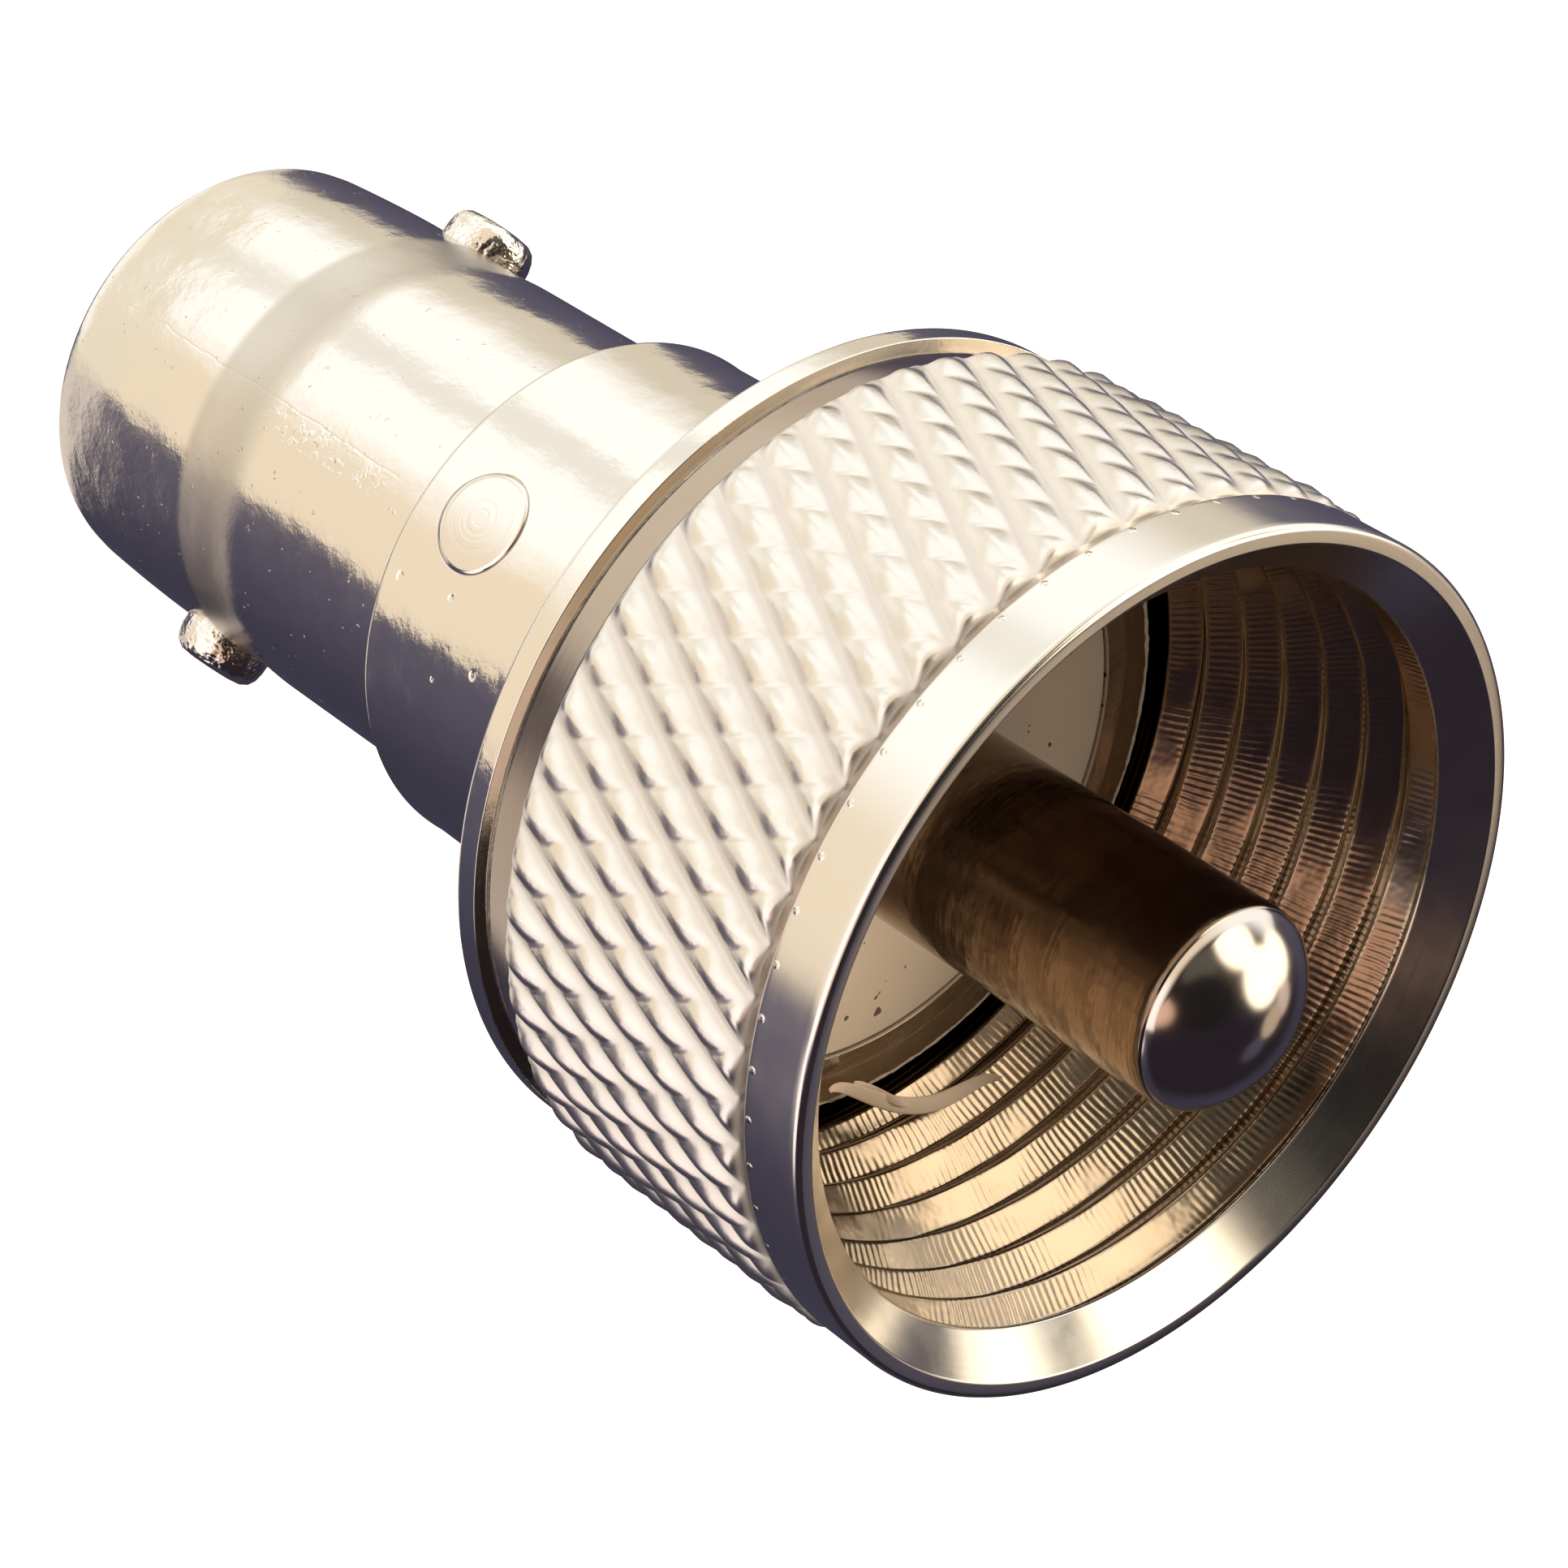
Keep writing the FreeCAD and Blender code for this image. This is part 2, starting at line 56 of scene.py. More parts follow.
camera_data = bpy.data.cameras.new("camera")
camera_data.lens = LENS
camera_data.sensor_width = SENSOR
camera_data.shift_x, camera_data.shift_y = SHIFT
camera_data.clip_start = 0.001
camera_data.clip_end = 10.0
camera = bpy.data.objects.new("camera", camera_data)
turn = Matrix((CAMERA_RIGHT, CAMERA_UP, CAMERA_RIGHT.cross(CAMERA_UP))).transposed()
camera.matrix_world = Matrix.Translation(Vector(CAMERA_PLACE)) @ turn.to_4x4()
bpy.context.scene.collection.objects.link(camera)
bpy.context.scene.camera = camera
bpy.context.scene.view_settings.view_transform = "Standard"


def new_material(name):
    """An empty node material with its Principled shader joined to the output."""
    material = bpy.data.materials.new(name)
    material.use_nodes = True
    tree = material.node_tree
    tree.nodes.clear()
    output = tree.nodes.new("ShaderNodeOutputMaterial")
    shader = tree.nodes.new("ShaderNodeBsdfPrincipled")
    tree.links.new(shader.outputs["BSDF"], output.inputs["Surface"])
    return material, tree, shader


def plug(tree, socket, entry):
    """Joins an output to a socket, or sets the socket to a plain value."""
    if isinstance(entry, bpy.types.NodeSocket):
        tree.links.new(entry, socket)
    else:
        socket.default_value = entry


def math_node(tree, operation, first, second=0.0, third=0.0):
    """One Math node. Each entry is a number or the output of another node."""
    node = tree.nodes.new("ShaderNodeMath")
    node.operation = operation
    for socket, entry in zip(node.inputs, (first, second, third)):
        plug(tree, socket, entry)
    return node.outputs[0]


def blend_colours(tree, amount, first, second):
    """Mixes two colours by an amount from 0 to 1."""
    node = tree.nodes.new("ShaderNodeMix")
    node.data_type = "RGBA"
    for index, entry in ((0, amount), (6, first), (7, second)):
        plug(tree, node.inputs[index], entry)
    return node.outputs[2]


def soft_step(tree, value, start, end):
    """Rises smoothly from 0 to 1 as a value goes from start to end."""
    node = tree.nodes.new("ShaderNodeMapRange")
    node.interpolation_type = "SMOOTHSTEP"
    tree.links.new(value, node.inputs["Value"])
    node.inputs["From Min"].default_value = start
    node.inputs["From Max"].default_value = end
    return node.outputs["Result"]


def colour_bands(tree, share, bands):
    """A colour ramp through (degrees, colour) pairs, read at a share of a full turn."""
    node = tree.nodes.new("ShaderNodeValToRGB")
    ramp = node.color_ramp
    while len(ramp.elements) < len(bands):
        ramp.elements.new(0.5)
    for element, (degrees, colour) in zip(ramp.elements, bands):
        element.position = degrees / 360
        element.color = colour
    tree.links.new(share, node.inputs["Fac"])
    return node.outputs["Color"]


def along(tree, vector, towards):
    """How far a direction agrees with another one, from -1 to 1."""
    node = tree.nodes.new("ShaderNodeVectorMath")
    node.operation = "DOT_PRODUCT"
    tree.links.new(vector, node.inputs[0])
    node.inputs[1].default_value = Vector(towards).normalized()
    return node.outputs["Value"]


def parts_of(tree, vector):
    """The x, y and z of a vector."""
    node = tree.nodes.new("ShaderNodeSeparateXYZ")
    tree.links.new(vector, node.inputs[0])
    return node.outputs


# The room as a mirror sees it. A dark blue cloth fills the side of +X and +Y and rises well
# above. Beyond its edge, pale walls stand round the axis in upright bands, with their own
# colours low down, half way up and near the level of the mouth. Overhead the room is dark,
# but for a window behind -X and the flush of a warm lamp. Below, the walls turn to the pale
# floor, and a pale strip crosses the cloth.
CLOTH_UP = (-0.557, -0.826, 0.082)
CLOTH_NEAR = (0.118, 0.108, 0.160, 1.0)
CLOTH_FAR = (0.050, 0.046, 0.076, 1.0)
CLOTH_STRIP = (0.84, 0.74, 0.66, 1.0)
WHITE = (1.38, 1.38, 1.34, 1.0)
MILKY = (1.08, 1.05, 0.96, 1.0)
CREAM = (1.10, 0.93, 0.72, 1.0)
SAND = (0.85, 0.76, 0.61, 1.0)
ROSY = (1.60, 1.42, 1.36, 1.0)
BELOW = (1.02, 0.93, 0.75, 1.0)
BOTTOM = (1.30, 1.24, 1.14, 1.0)
DARK_ROOM = (0.018, 0.011, 0.008, 1.0)
DARK_CLOTH = (0.019, 0.014, 0.024, 1.0)
LOW_BANDS = [
    (140, SAND), (170, SAND), (190, WHITE), (216, WHITE), (221, MILKY), (230, MILKY),
    (236, WHITE), (262, WHITE), (281, CREAM), (322, CREAM),
]
MIDDLE_BANDS = [(140, SAND), (156, WHITE), (300, WHITE), (325, ROSY)]
HIGH_BANDS = [
    (140, SAND), (152, WHITE), (196, WHITE), (226, CREAM), (268, CREAM), (288, ROSY), (330, ROSY),
]
WINDOW = (2.40, 2.10, 1.66, 1.0)

# Patches of light and shade: direction, half width and soft edge in degrees, colour.
PANELS = [
    ((-0.30, -0.60, 0.75), 16.0, 10.0, (0.12, 0.11, 0.09, 1.0)),
    ((0.50, -0.58, 0.60), 12.0, 8.0, (0.98, 0.62, 0.46, 1.0)),
    ((-0.74, -0.12, 0.66), 18.0, 5.0, WINDOW),
    ((-0.52, 0.38, 0.76), 19.0, 5.0, WINDOW),
    ((-0.64, 0.56, 0.48), 14.0, 6.0, WINDOW),
    ((-0.34, 0.80, 0.49), 8.0, 5.0, (0.80, 0.62, 0.54, 1.0)),
    ((0.12, 0.78, 0.61), 8.0, 3.0, (0.085, 0.078, 0.120, 1.0)),
    ((-0.16, 0.775, 0.61), 9.0, 2.0, (0.62, 0.49, 0.36, 1.0)),
    ((0.91, -0.33, -0.25), 17.0, 5.0, (1.50, 1.30, 1.24, 1.0)),
    ((0.06, -0.27, 0.96), 22.0, 6.0, (0.010, 0.009, 0.010, 1.0)),
]

world = bpy.data.worlds.new("room")
world.use_nodes = True
bpy.context.scene.world = world
room = world.node_tree
room.nodes.clear()
direction = room.nodes.new("ShaderNodeTexCoord").outputs["Generated"]
x, y, height = parts_of(room, direction)
back_x = math_node(room, "MULTIPLY", x, -1.0)
back_y = math_node(room, "MULTIPLY", y, -1.0)
compass = math_node(
    room, "MULTIPLY_ADD", math_node(room, "ARCTAN2", back_y, back_x), 0.5 / np.pi, 0.5)

# Each next colour takes over as the height of the direction goes from start to end.
walls, middle_walls, high_walls = (
    colour_bands(room, compass, bands) for bands in (LOW_BANDS, MIDDLE_BANDS, HIGH_BANDS))
for start, end, colour in (
        (-0.54, -0.42, middle_walls), (-0.25, -0.17, high_walls), (-0.775, -0.805, BELOW),
        (-0.86, -0.91, BOTTOM), (0.30, 0.55, DARK_ROOM)):
    walls = blend_colours(room, soft_step(room, height, start, end), walls, colour)

over_cloth = along(room, direction, CLOTH_UP)
plain_cloth = blend_colours(
    room, soft_step(room, over_cloth, -0.05, -0.85), CLOTH_NEAR, CLOTH_FAR)
cloth = plain_cloth
for start, end, colour in (
        (-0.785, -0.82, CLOTH_STRIP), (-0.92, -0.95, plain_cloth), (0.0, 0.3, DARK_CLOTH)):
    cloth = blend_colours(room, soft_step(room, height, start, end), cloth, colour)

mirrored = blend_colours(room, soft_step(room, over_cloth, -0.012, 0.012), cloth, walls)
for towards, half_width, soft_edge, colour in PANELS:
    inner = float(np.cos(np.radians(half_width - soft_edge / 2)))
    outer = float(np.cos(np.radians(half_width + soft_edge / 2)))
    share = soft_step(room, along(room, direction, towards), outer, inner)
    mirrored = blend_colours(room, share, mirrored, colour)

SOFT_LIGHT = (0.60, 0.52, 0.43, 1.0)
BACKGROUND = (1.0, 1.0, 1.0, 1.0)
rays = room.nodes.new("ShaderNodeLightPath")
seen = blend_colours(room, rays.outputs["Is Glossy Ray"], SOFT_LIGHT, mirrored)
seen = blend_colours(room, rays.outputs["Is Camera Ray"], seen, BACKGROUND)
sky = room.nodes.new("ShaderNodeBackground")
room.links.new(seen, sky.inputs["Color"])
room.links.new(sky.outputs[0], room.nodes.new("ShaderNodeOutputWorld").inputs["Surface"])

FLOOR_HALF = 1.5
FLOOR_DROP = 0.02 * MM
floor_mesh = bpy.data.meshes.new("floor")
floor_mesh.from_pydata(
    [(-FLOOR_HALF, -FLOOR_HALF, 0), (FLOOR_HALF, -FLOOR_HALF, 0),
     (FLOOR_HALF, FLOOR_HALF, 0), (-FLOOR_HALF, FLOOR_HALF, 0)], [], [(0, 1, 2, 3)])
floor = bpy.data.objects.new("floor", floor_mesh)
floor.location.z = -FLOOR_DROP

# The plating mirrors the room's own colours from below in place of the floor.
floor.visible_glossy = False
bpy.context.scene.collection.objects.link(floor)
floor_material, tree, shader = new_material("pale_floor")
shader.inputs["Base Color"].default_value = (0.90, 0.90, 0.90, 1.0)
shader.inputs["Roughness"].default_value = 0.9
shader.inputs["Emission Color"].default_value = (1.0, 1.0, 1.0, 1.0)
shader.inputs["Emission Strength"].default_value = 0.72
floor_mesh.materials.append(floor_material)

WINDOW_PLACE = Vector((-0.17, 0.05, 0.22))
window_data = bpy.data.lights.new("window", "AREA")
window_data.energy = 0.36
window_data.size = 0.10
window_data.color = (1.0, 0.84, 0.66)
window = bpy.data.objects.new("window", window_data)
window.matrix_world = (Matrix.Translation(WINDOW_PLACE)
                       @ WINDOW_PLACE.to_track_quat("Z", "Y").to_matrix().to_4x4())
window.visible_glossy = False
bpy.context.scene.collection.objects.link(window)

# Jack barrel: one casting with rim, nose, soft groove and sleeve, nickel plated. The parting
# line of its two-part mould runs along both sides, with a patch left rough beside it. The tail
# is pressed into the collar of the adapter's body, so here it stops just inside the collar.


def span(node):
    """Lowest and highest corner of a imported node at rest, in millimetres."""
    return np.array(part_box(node)) / MM


COLLAR_BACK = span("adapter_body")[0, 2]
NOSE_RADIUS = 4.8
NOSE_END = 5.0
GROOVE_WIDTH = 1.2
GROOVE_END = NOSE_END + GROOVE_WIDTH
GROOVE_DEPTH = 0.05
GROOVE_BLEND = 0.55
RIM_DROP = 0.12
RIM_LENGTH = 2.9
RIM_POWER = 1.6
BARREL_WALL = 0.74
BORE_RADIUS = NOSE_RADIUS - BARREL_WALL
LEAD_IN = 0.14
SHOULDER_DEPTH = 5.8
CORE_NOSE_RADIUS = 2.4
TAIL_STEP = 0.5
TAIL_RADIUS = NOSE_RADIUS - TAIL_STEP
TAIL_STUB = 0.3


def softened(corners, steps=4):
    """Rounds the corners of an outline given as (radius, height, rounding).

    Each corner b is cut back by its rounding on both sides, and the cut is bridged by a curve
    (1 - t)^2 a + 2 t (1 - t) b + t^2 c. A point at twice the rounding keeps the flats flat.
    """
    corners = np.array(corners, float)
    points = []
    last = len(corners) - 1
    for index, (radius, height, rounding) in enumerate(corners):
        here = np.array((radius, height))
        if rounding <= 0:
            points.append(here)
            continue
        back = corners[index - 1, :2] if index > 0 else corners[last, :2]
        ahead = corners[index + 1, :2] if index < last else corners[0, :2]
        into = (back - here) / np.linalg.norm(back - here)
        out = (ahead - here) / np.linalg.norm(ahead - here)
        a, c = here + into * rounding, here + out * rounding
        t = np.linspace(0, 1, steps + 1)[:, None]
        bend = (1 - t) ** 2 * a + 2 * t * (1 - t) * here + t ** 2 * c
        points += [here + into * 2 * rounding, *bend, here + out * 2 * rounding]
    return np.array(points)


def full_turn(steps):
    """A row of angles once round, without the last one, which is the first again."""
    return np.linspace(0, 2 * np.pi, steps, endpoint=False)[None, :]


def round_z(radius, angle, height):
    """Rings of points about Z: x = r cos a, y = r sin a, z = h."""
    radius, angle, height = np.broadcast_arrays(radius, angle, height)
    return np.stack((radius * np.cos(angle), radius * np.sin(angle), height), -1)


def solid_of_rings(name, rings, loop, slanted=False):
    """Skins rings of points, an array of (rings, points round, 3) in millimetres.

    Each cell of the grid is one square, or with slanted two triangles that meet along its
    diagonal, for a pattern whose edges follow that diagonal.

    With loop the last ring joins the first, as in a tube. Without it each end ring is closed
    by a fan to the middle of that ring. The faces point outwards.
    """
    count, around = rings.shape[:2]
    row = np.arange(count if loop else count - 1)[:, None]
    column = np.arange(around)[None, :]
    next_row, next_column = (row + 1) % count, (column + 1) % around
    quads = np.stack(np.broadcast_arrays(
        row * around + column, row * around + next_column,
        next_row * around + next_column, next_row * around + column), -1).reshape(-1, 4)
    points = rings.reshape(-1, 3)
    triangles = np.empty((0, 3), int)
    if slanted:
        triangles = np.vstack((quads[:, [0, 1, 3]], quads[:, [1, 2, 3]]))
        quads = quads[:0]
    if not loop:
        points = np.vstack((points, rings[0].mean(0), rings[-1].mean(0)))
        start, end = count * around, count * around + 1
        edge, following = np.arange(around), (np.arange(around) + 1) % around
        top = (count - 1) * around
        triangles = np.vstack((
            triangles,
            np.stack((following, edge, np.full(around, start)), -1),
            np.stack((top + edge, top + following, np.full(around, end)), -1)))
    split = np.vstack((quads[:, [0, 1, 2]], quads[:, [0, 2, 3]], triangles))
    a, b, c = (points[split[:, k]] for k in range(3))
    if np.einsum("ij,ij->i", a, np.cross(b, c)).sum() < 0:
        quads, triangles = quads[:, ::-1], triangles[:, ::-1]
    corners = np.concatenate((quads.ravel(), triangles.ravel()))
    sizes = np.concatenate((np.full(len(quads), 4), np.full(len(triangles), 3)))
    mesh = bpy.data.meshes.new(name)
    mesh.vertices.add(len(points))
    mesh.vertices.foreach_set("co", (points * MM).ravel())
    mesh.loops.add(len(corners))
    mesh.loops.foreach_set("vertex_index", corners.astype(np.int32))
    mesh.polygons.add(len(sizes))
    mesh.polygons.foreach_set("loop_start", np.concatenate(([0], np.cumsum(sizes)[:-1])))
    mesh.polygons.foreach_set("use_smooth", np.ones(len(sizes), bool))
    mesh.update(calc_edges=True)
    mesh.validate()
    piece = bpy.data.objects.new(name, mesh)
    bpy.context.scene.collection.objects.link(piece)
    return piece


def turned(name, outline, around=256, loop=False):
    """Turns an outline of (radius, height) points about Z."""
    return solid_of_rings(
        name, round_z(outline[:, :1], full_turn(around), outline[:, 1:]), loop)


def texture_noise(tree, vector, scale, detail=2.0, roughness=0.5):
    """Noise of a given scale read at a vector, from about 0.3 to 0.7."""
    node = tree.nodes.new("ShaderNodeTexNoise")
    node.inputs["Scale"].default_value = scale
    node.inputs["Detail"].default_value = detail
    node.inputs["Roughness"].default_value = roughness
    tree.links.new(vector, node.inputs["Vector"])
    return node.outputs["Fac"]


def place_in_mm(tree):
    """The point in the piece's own space, in millimetres."""
    node = tree.nodes.new("ShaderNodeMapping")
    node.inputs["Scale"].default_value = (1 / MM, 1 / MM, 1 / MM)
    tree.links.new(tree.nodes.new("ShaderNodeTexCoord").outputs["Object"], node.inputs["Vector"])
    return node.outputs["Vector"]


def vector_of(tree, x, y, z):
    """A vector of three entries."""
    node = tree.nodes.new("ShaderNodeCombineXYZ")
    for socket, entry in zip(node.inputs, (x, y, z)):
        plug(tree, socket, entry)
    return node.outputs[0]


def product(tree, *entries):
    """All entries multiplied together."""
    total = entries[0]
    for entry in entries[1:]:
        total = math_node(tree, "MULTIPLY", total, entry)
    return total


def distance(tree, across, up, centre=(0.0, 0.0)):
    """How far (across, up) lies from a centre in the same plane."""
    beside = math_node(tree, "SUBTRACT", across, centre[0])
    above = math_node(tree, "SUBTRACT", up, centre[1])
    return math_node(tree, "SQRT", math_node(
        tree, "ADD", product(tree, beside, beside), product(tree, above, above)))


def round_and_along(tree, place):
    """Angle round Z in radians, distance from Z and height of a place."""
    x, y, z = parts_of(tree, place)
    return math_node(tree, "ARCTAN2", y, x), distance(tree, x, y), z


def turned_marks(tree, place, fineness):
    """Fine lines round the axis: noise that changes fast along Z and radius, slowly round."""
    angle, radius, height = round_and_along(tree, place)
    slowly = 1.2
    return texture_noise(tree, vector_of(
        tree, math_node(tree, "MULTIPLY", angle, slowly),
        math_node(tree, "MULTIPLY", radius, fineness),
        math_node(tree, "MULTIPLY", height, fineness)), scale=1.0, detail=3.0)


def within(tree, value, low, high, soft):
    """1 where a value lies between low and high, falling softly to 0 outside."""
    return product(tree, soft_step(tree, value, low - soft, low + soft),
                   soft_step(tree, value, high + soft, high - soft))


def spot(tree, across, up, centre, reach):
    """A round mark: 1 over the inner 0.3 of its reach about a centre, falling to 0 at its reach."""
    return soft_step(tree, distance(tree, across, up, centre), reach, reach * 0.3)


def bumped(tree, shader, height, depth_mm):
    """Adds a bump to what the shader already has: a height of 1 stands out by the depth."""
    node = tree.nodes.new("ShaderNodeBump")
    node.inputs["Strength"].default_value = 1.0
    node.inputs["Distance"].default_value = depth_mm * MM
    tree.links.new(height, node.inputs["Height"])
    before = shader.inputs["Normal"].links
    if before:
        tree.links.new(before[0].from_socket, node.inputs["Normal"])
    tree.links.new(node.outputs["Normal"], shader.inputs["Normal"])


def roughened(tree, shader, share, extra):
    """Adds share times extra to the roughness that the shader already has."""
    before = shader.inputs["Roughness"].links[0].from_socket
    plug(tree, shader.inputs["Roughness"], math_node(tree, "MULTIPLY_ADD", share, extra, before))


def plating(name, colour, roughness, spread):
    """Nickel plate: a metal whose roughness wanders by the spread in soft clouds."""
    material, tree, shader = new_material(name)
    shader.inputs["Base Color"].default_value = colour
    shader.inputs["Metallic"].default_value = 1.0
    place = place_in_mm(tree)
    cloud = texture_noise(tree, place, scale=1.1, detail=4.0, roughness=0.6)
    plug(tree, shader.inputs["Roughness"],
         math_node(tree, "MULTIPLY_ADD", cloud, 2 * spread, roughness - spread))
    return material, tree, shader, place


groove_rise = np.linspace(0, 1, 41)
groove = np.stack((
    NOSE_RADIUS - GROOVE_DEPTH * np.sin(np.pi * groove_rise) ** 2,
    NOSE_END - GROOVE_BLEND + (GROOVE_WIDTH + 2 * GROOVE_BLEND) * groove_rise), -1)
rim_rise = np.linspace(0.12, 1, 17)
rim_crown = np.stack((
    NOSE_RADIUS - RIM_DROP * (1 - rim_rise) ** RIM_POWER, RIM_LENGTH * rim_rise), -1)
barrel = turned("barrel_casting", np.vstack((
    softened([
        (CORE_NOSE_RADIUS, SHOULDER_DEPTH, 0),
        (BORE_RADIUS, SHOULDER_DEPTH, 0.06),
        (BORE_RADIUS, LEAD_IN, 0.02),
        (BORE_RADIUS + LEAD_IN, 0.0, 0.03),
        (NOSE_RADIUS - 1.2 * RIM_DROP, 0.0, 0.12),
        (NOSE_RADIUS - 0.92 * RIM_DROP, 0.26, 0),
    ]),
    rim_crown,
    groove,
    [(NOSE_RADIUS, GROOVE_END + 0.6), (NOSE_RADIUS, COLLAR_BACK - 0.4),
     (NOSE_RADIUS, COLLAR_BACK + TAIL_STUB), (CORE_NOSE_RADIUS, COLLAR_BACK + TAIL_STUB)],
)), 320, loop=True)

NICKEL = (0.79, 0.755, 0.70, 1.0)
GROOVE_SHADE_NICKEL = (0.62, 0.575, 0.50, 1.0)
SEAM_SPREAD = 0.26
SEAM_HALF_WIDTH = 0.045
SEAM_HEIGHTS = (0.3, 10.6)
PATCH_ACROSS = (0.20, 0.75)
PATCH_HEIGHTS = (6.7, 10.2)

material, tree, shader, place = plating("cast_nickel", NICKEL, roughness=0.15, spread=0.06)
x, y, z = parts_of(tree, place)
bumped(tree, shader, texture_noise(tree, place, 0.45, 2.0, 0.4), depth_mm=0.07)
bumped(tree, shader, texture_noise(tree, place, 3.2, 3.0, 0.6), depth_mm=0.008)
# Painted shade: the groove's plating is given a darker colour, and it is also rougher.
dull_and_shaded = product(tree, soft_step(tree, z, NOSE_END - 0.45, NOSE_END - 0.15),
               soft_step(tree, z, GROOVE_END + 0.7, GROOVE_END - 0.2))
plug(tree, shader.inputs["Base Color"], blend_colours(tree, dull_and_shaded, NICKEL, GROOVE_SHADE_NICKEL))
roughened(tree, shader, dull_and_shaded, 0.22)
wander = math_node(tree, "MULTIPLY", texture_noise(tree, place, 1.3, 3.0), SEAM_SPREAD)
from_seam = math_node(tree, "ABSOLUTE", math_node(tree, "SUBTRACT", x, wander))
seam = product(
    tree, soft_step(tree, from_seam, SEAM_HALF_WIDTH, 0.0),
    within(tree, z, *SEAM_HEIGHTS, 0.2), texture_noise(tree, place, 2.2))
bumped(tree, shader, seam, depth_mm=-0.005)
patch = product(
    tree, soft_step(tree, texture_noise(tree, place, 4.2), 0.50, 0.62),
    within(tree, x, *PATCH_ACROSS, 0.25), within(tree, z, *PATCH_HEIGHTS, 0.5))
bumped(tree, shader, patch, depth_mm=0.011)
grit = soft_step(tree, texture_noise(tree, place, 6.0, 1.0), 0.745, 0.79)
bumped(tree, shader, grit, depth_mm=0.012)
barrel.data.materials.append(material)
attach(barrel, "adapter")
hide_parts("jack_shell")

# Bayonet lugs: two round studs pressed through the barrel wall from both sides, their heads
# rounded over, slightly out of round and left a little rough by the plating.

LUG_RADIUS = 1.0
LUG_EYE = 0.02
LUG_FOOT = TAIL_RADIUS
LUG_ROUNDING = 0.48
DENT_START = 0.4

for side, hand in ((1, "right"), (-1, "left")):
    node = "bayonet_lug_" + hand
    low, high = span(node)
    lug_height = (low[2] + high[2]) / 2
    lug_tip = max(-low[0], high[0])
    outline = softened([
        (LUG_EYE, LUG_FOOT, 0),
        (LUG_RADIUS, LUG_FOOT, 0),
        (LUG_RADIUS, lug_tip, LUG_ROUNDING),
        (LUG_EYE, lug_tip, 0),
    ])
    angle = full_turn(96)
    radius, reach = outline[:, :1], outline[:, 1:]
    dents = 0.035 * np.sin(2 * angle + 0.6) + 0.025 * np.sin(3 * angle + side)
    radius = radius * (1 - dents * np.clip((reach - NOSE_RADIUS) / DENT_START, 0, 1))
    rings = np.stack((
        side * reach + 0 * angle, radius * np.cos(angle),
        lug_height + radius * np.sin(angle)), -1)
    lug = solid_of_rings("lug_stud_" + hand, rings, False)
    material, tree, shader, place = plating(
        "lug_nickel_" + hand, NICKEL, roughness=0.16, spread=0.08)
    bumped(tree, shader, texture_noise(tree, place, 1.8, 3.0, 0.6), depth_mm=0.12)
    lug.data.materials.append(material)
    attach(lug, "adapter")
    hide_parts(node)

# Adapter body: turned in one piece from collar to flange, with a hollow flare between them,
# and bright nickel plated. The barrel's tail is pressed into it from behind. The collar has
# a few small nicks from handling.

COLLAR_WALL = 1.1
COLLAR_RADIUS = TAIL_RADIUS + COLLAR_WALL
COLLAR_START = COLLAR_BACK + 0.02
FLANGE_RADIUS = span("adapter_body")[1, 0]
NUT_GAP = 0.05
FLANGE_FACE = span("coupling_nut")[0, 2] - NUT_GAP
FLANGE_EDGE = 0.53
FLANGE_BACK = FLANGE_FACE - FLANGE_EDGE
HEAD_WIDTH = 0.75
SPIGOT_RADIUS = span("contact_ring")[1, 0] - HEAD_WIDTH
RING_FRONT = span("adapter_body")[1, 2]
DISC_RADIUS = span("coupling_insulator")[1, 0]
DISC_FRONT = span("coupling_insulator")[1, 2]
DISC_THICKNESS = 1.92
DISC_BACK = DISC_FRONT - DISC_THICKNESS
LOCK_RADIUS = span("locking_pin")[1, 0]
LOCK_HEIGHT = span("locking_pin")[:, 2].mean()

flare_radius = FLANGE_RADIUS - COLLAR_RADIUS
flare_turn = np.linspace(np.pi, np.pi / 2, 33)
flare = np.stack((
    FLANGE_RADIUS + flare_radius * np.cos(flare_turn),
    FLANGE_BACK - flare_radius + flare_radius * np.sin(flare_turn)), -1)
body = turned("collar_and_flange", np.vstack((
    softened([
        (TAIL_RADIUS, DISC_BACK, 0),
        (TAIL_RADIUS, COLLAR_START, 0),
        (NOSE_RADIUS - 0.1, COLLAR_START, 0),
        (COLLAR_RADIUS, COLLAR_START, 0.13),
    ]),
    flare[:-1],
    softened([
        (FLANGE_RADIUS - 0.02, FLANGE_BACK, 0),
        (FLANGE_RADIUS, FLANGE_BACK, 0.08),
        (FLANGE_RADIUS, FLANGE_FACE, 0.02),
        (SPIGOT_RADIUS, FLANGE_FACE, 0),
        (SPIGOT_RADIUS, RING_FRONT, 0.005),
        (DISC_RADIUS, RING_FRONT, 0.01),
        (DISC_RADIUS, DISC_BACK, 0),
    ])[1:],
)), 320, loop=True)

COLLAR_NICKS = [
    ((1.67, 12.4), 0.13), ((1.49, 13.9), 0.10), ((2.94, 14.0), 0.06), ((2.45, 15.1), 0.12),
]
PAINTED_SHADE_TONE = (0.20, 0.13, 0.09, 1.0)
LOCK_SEAM = 0.02

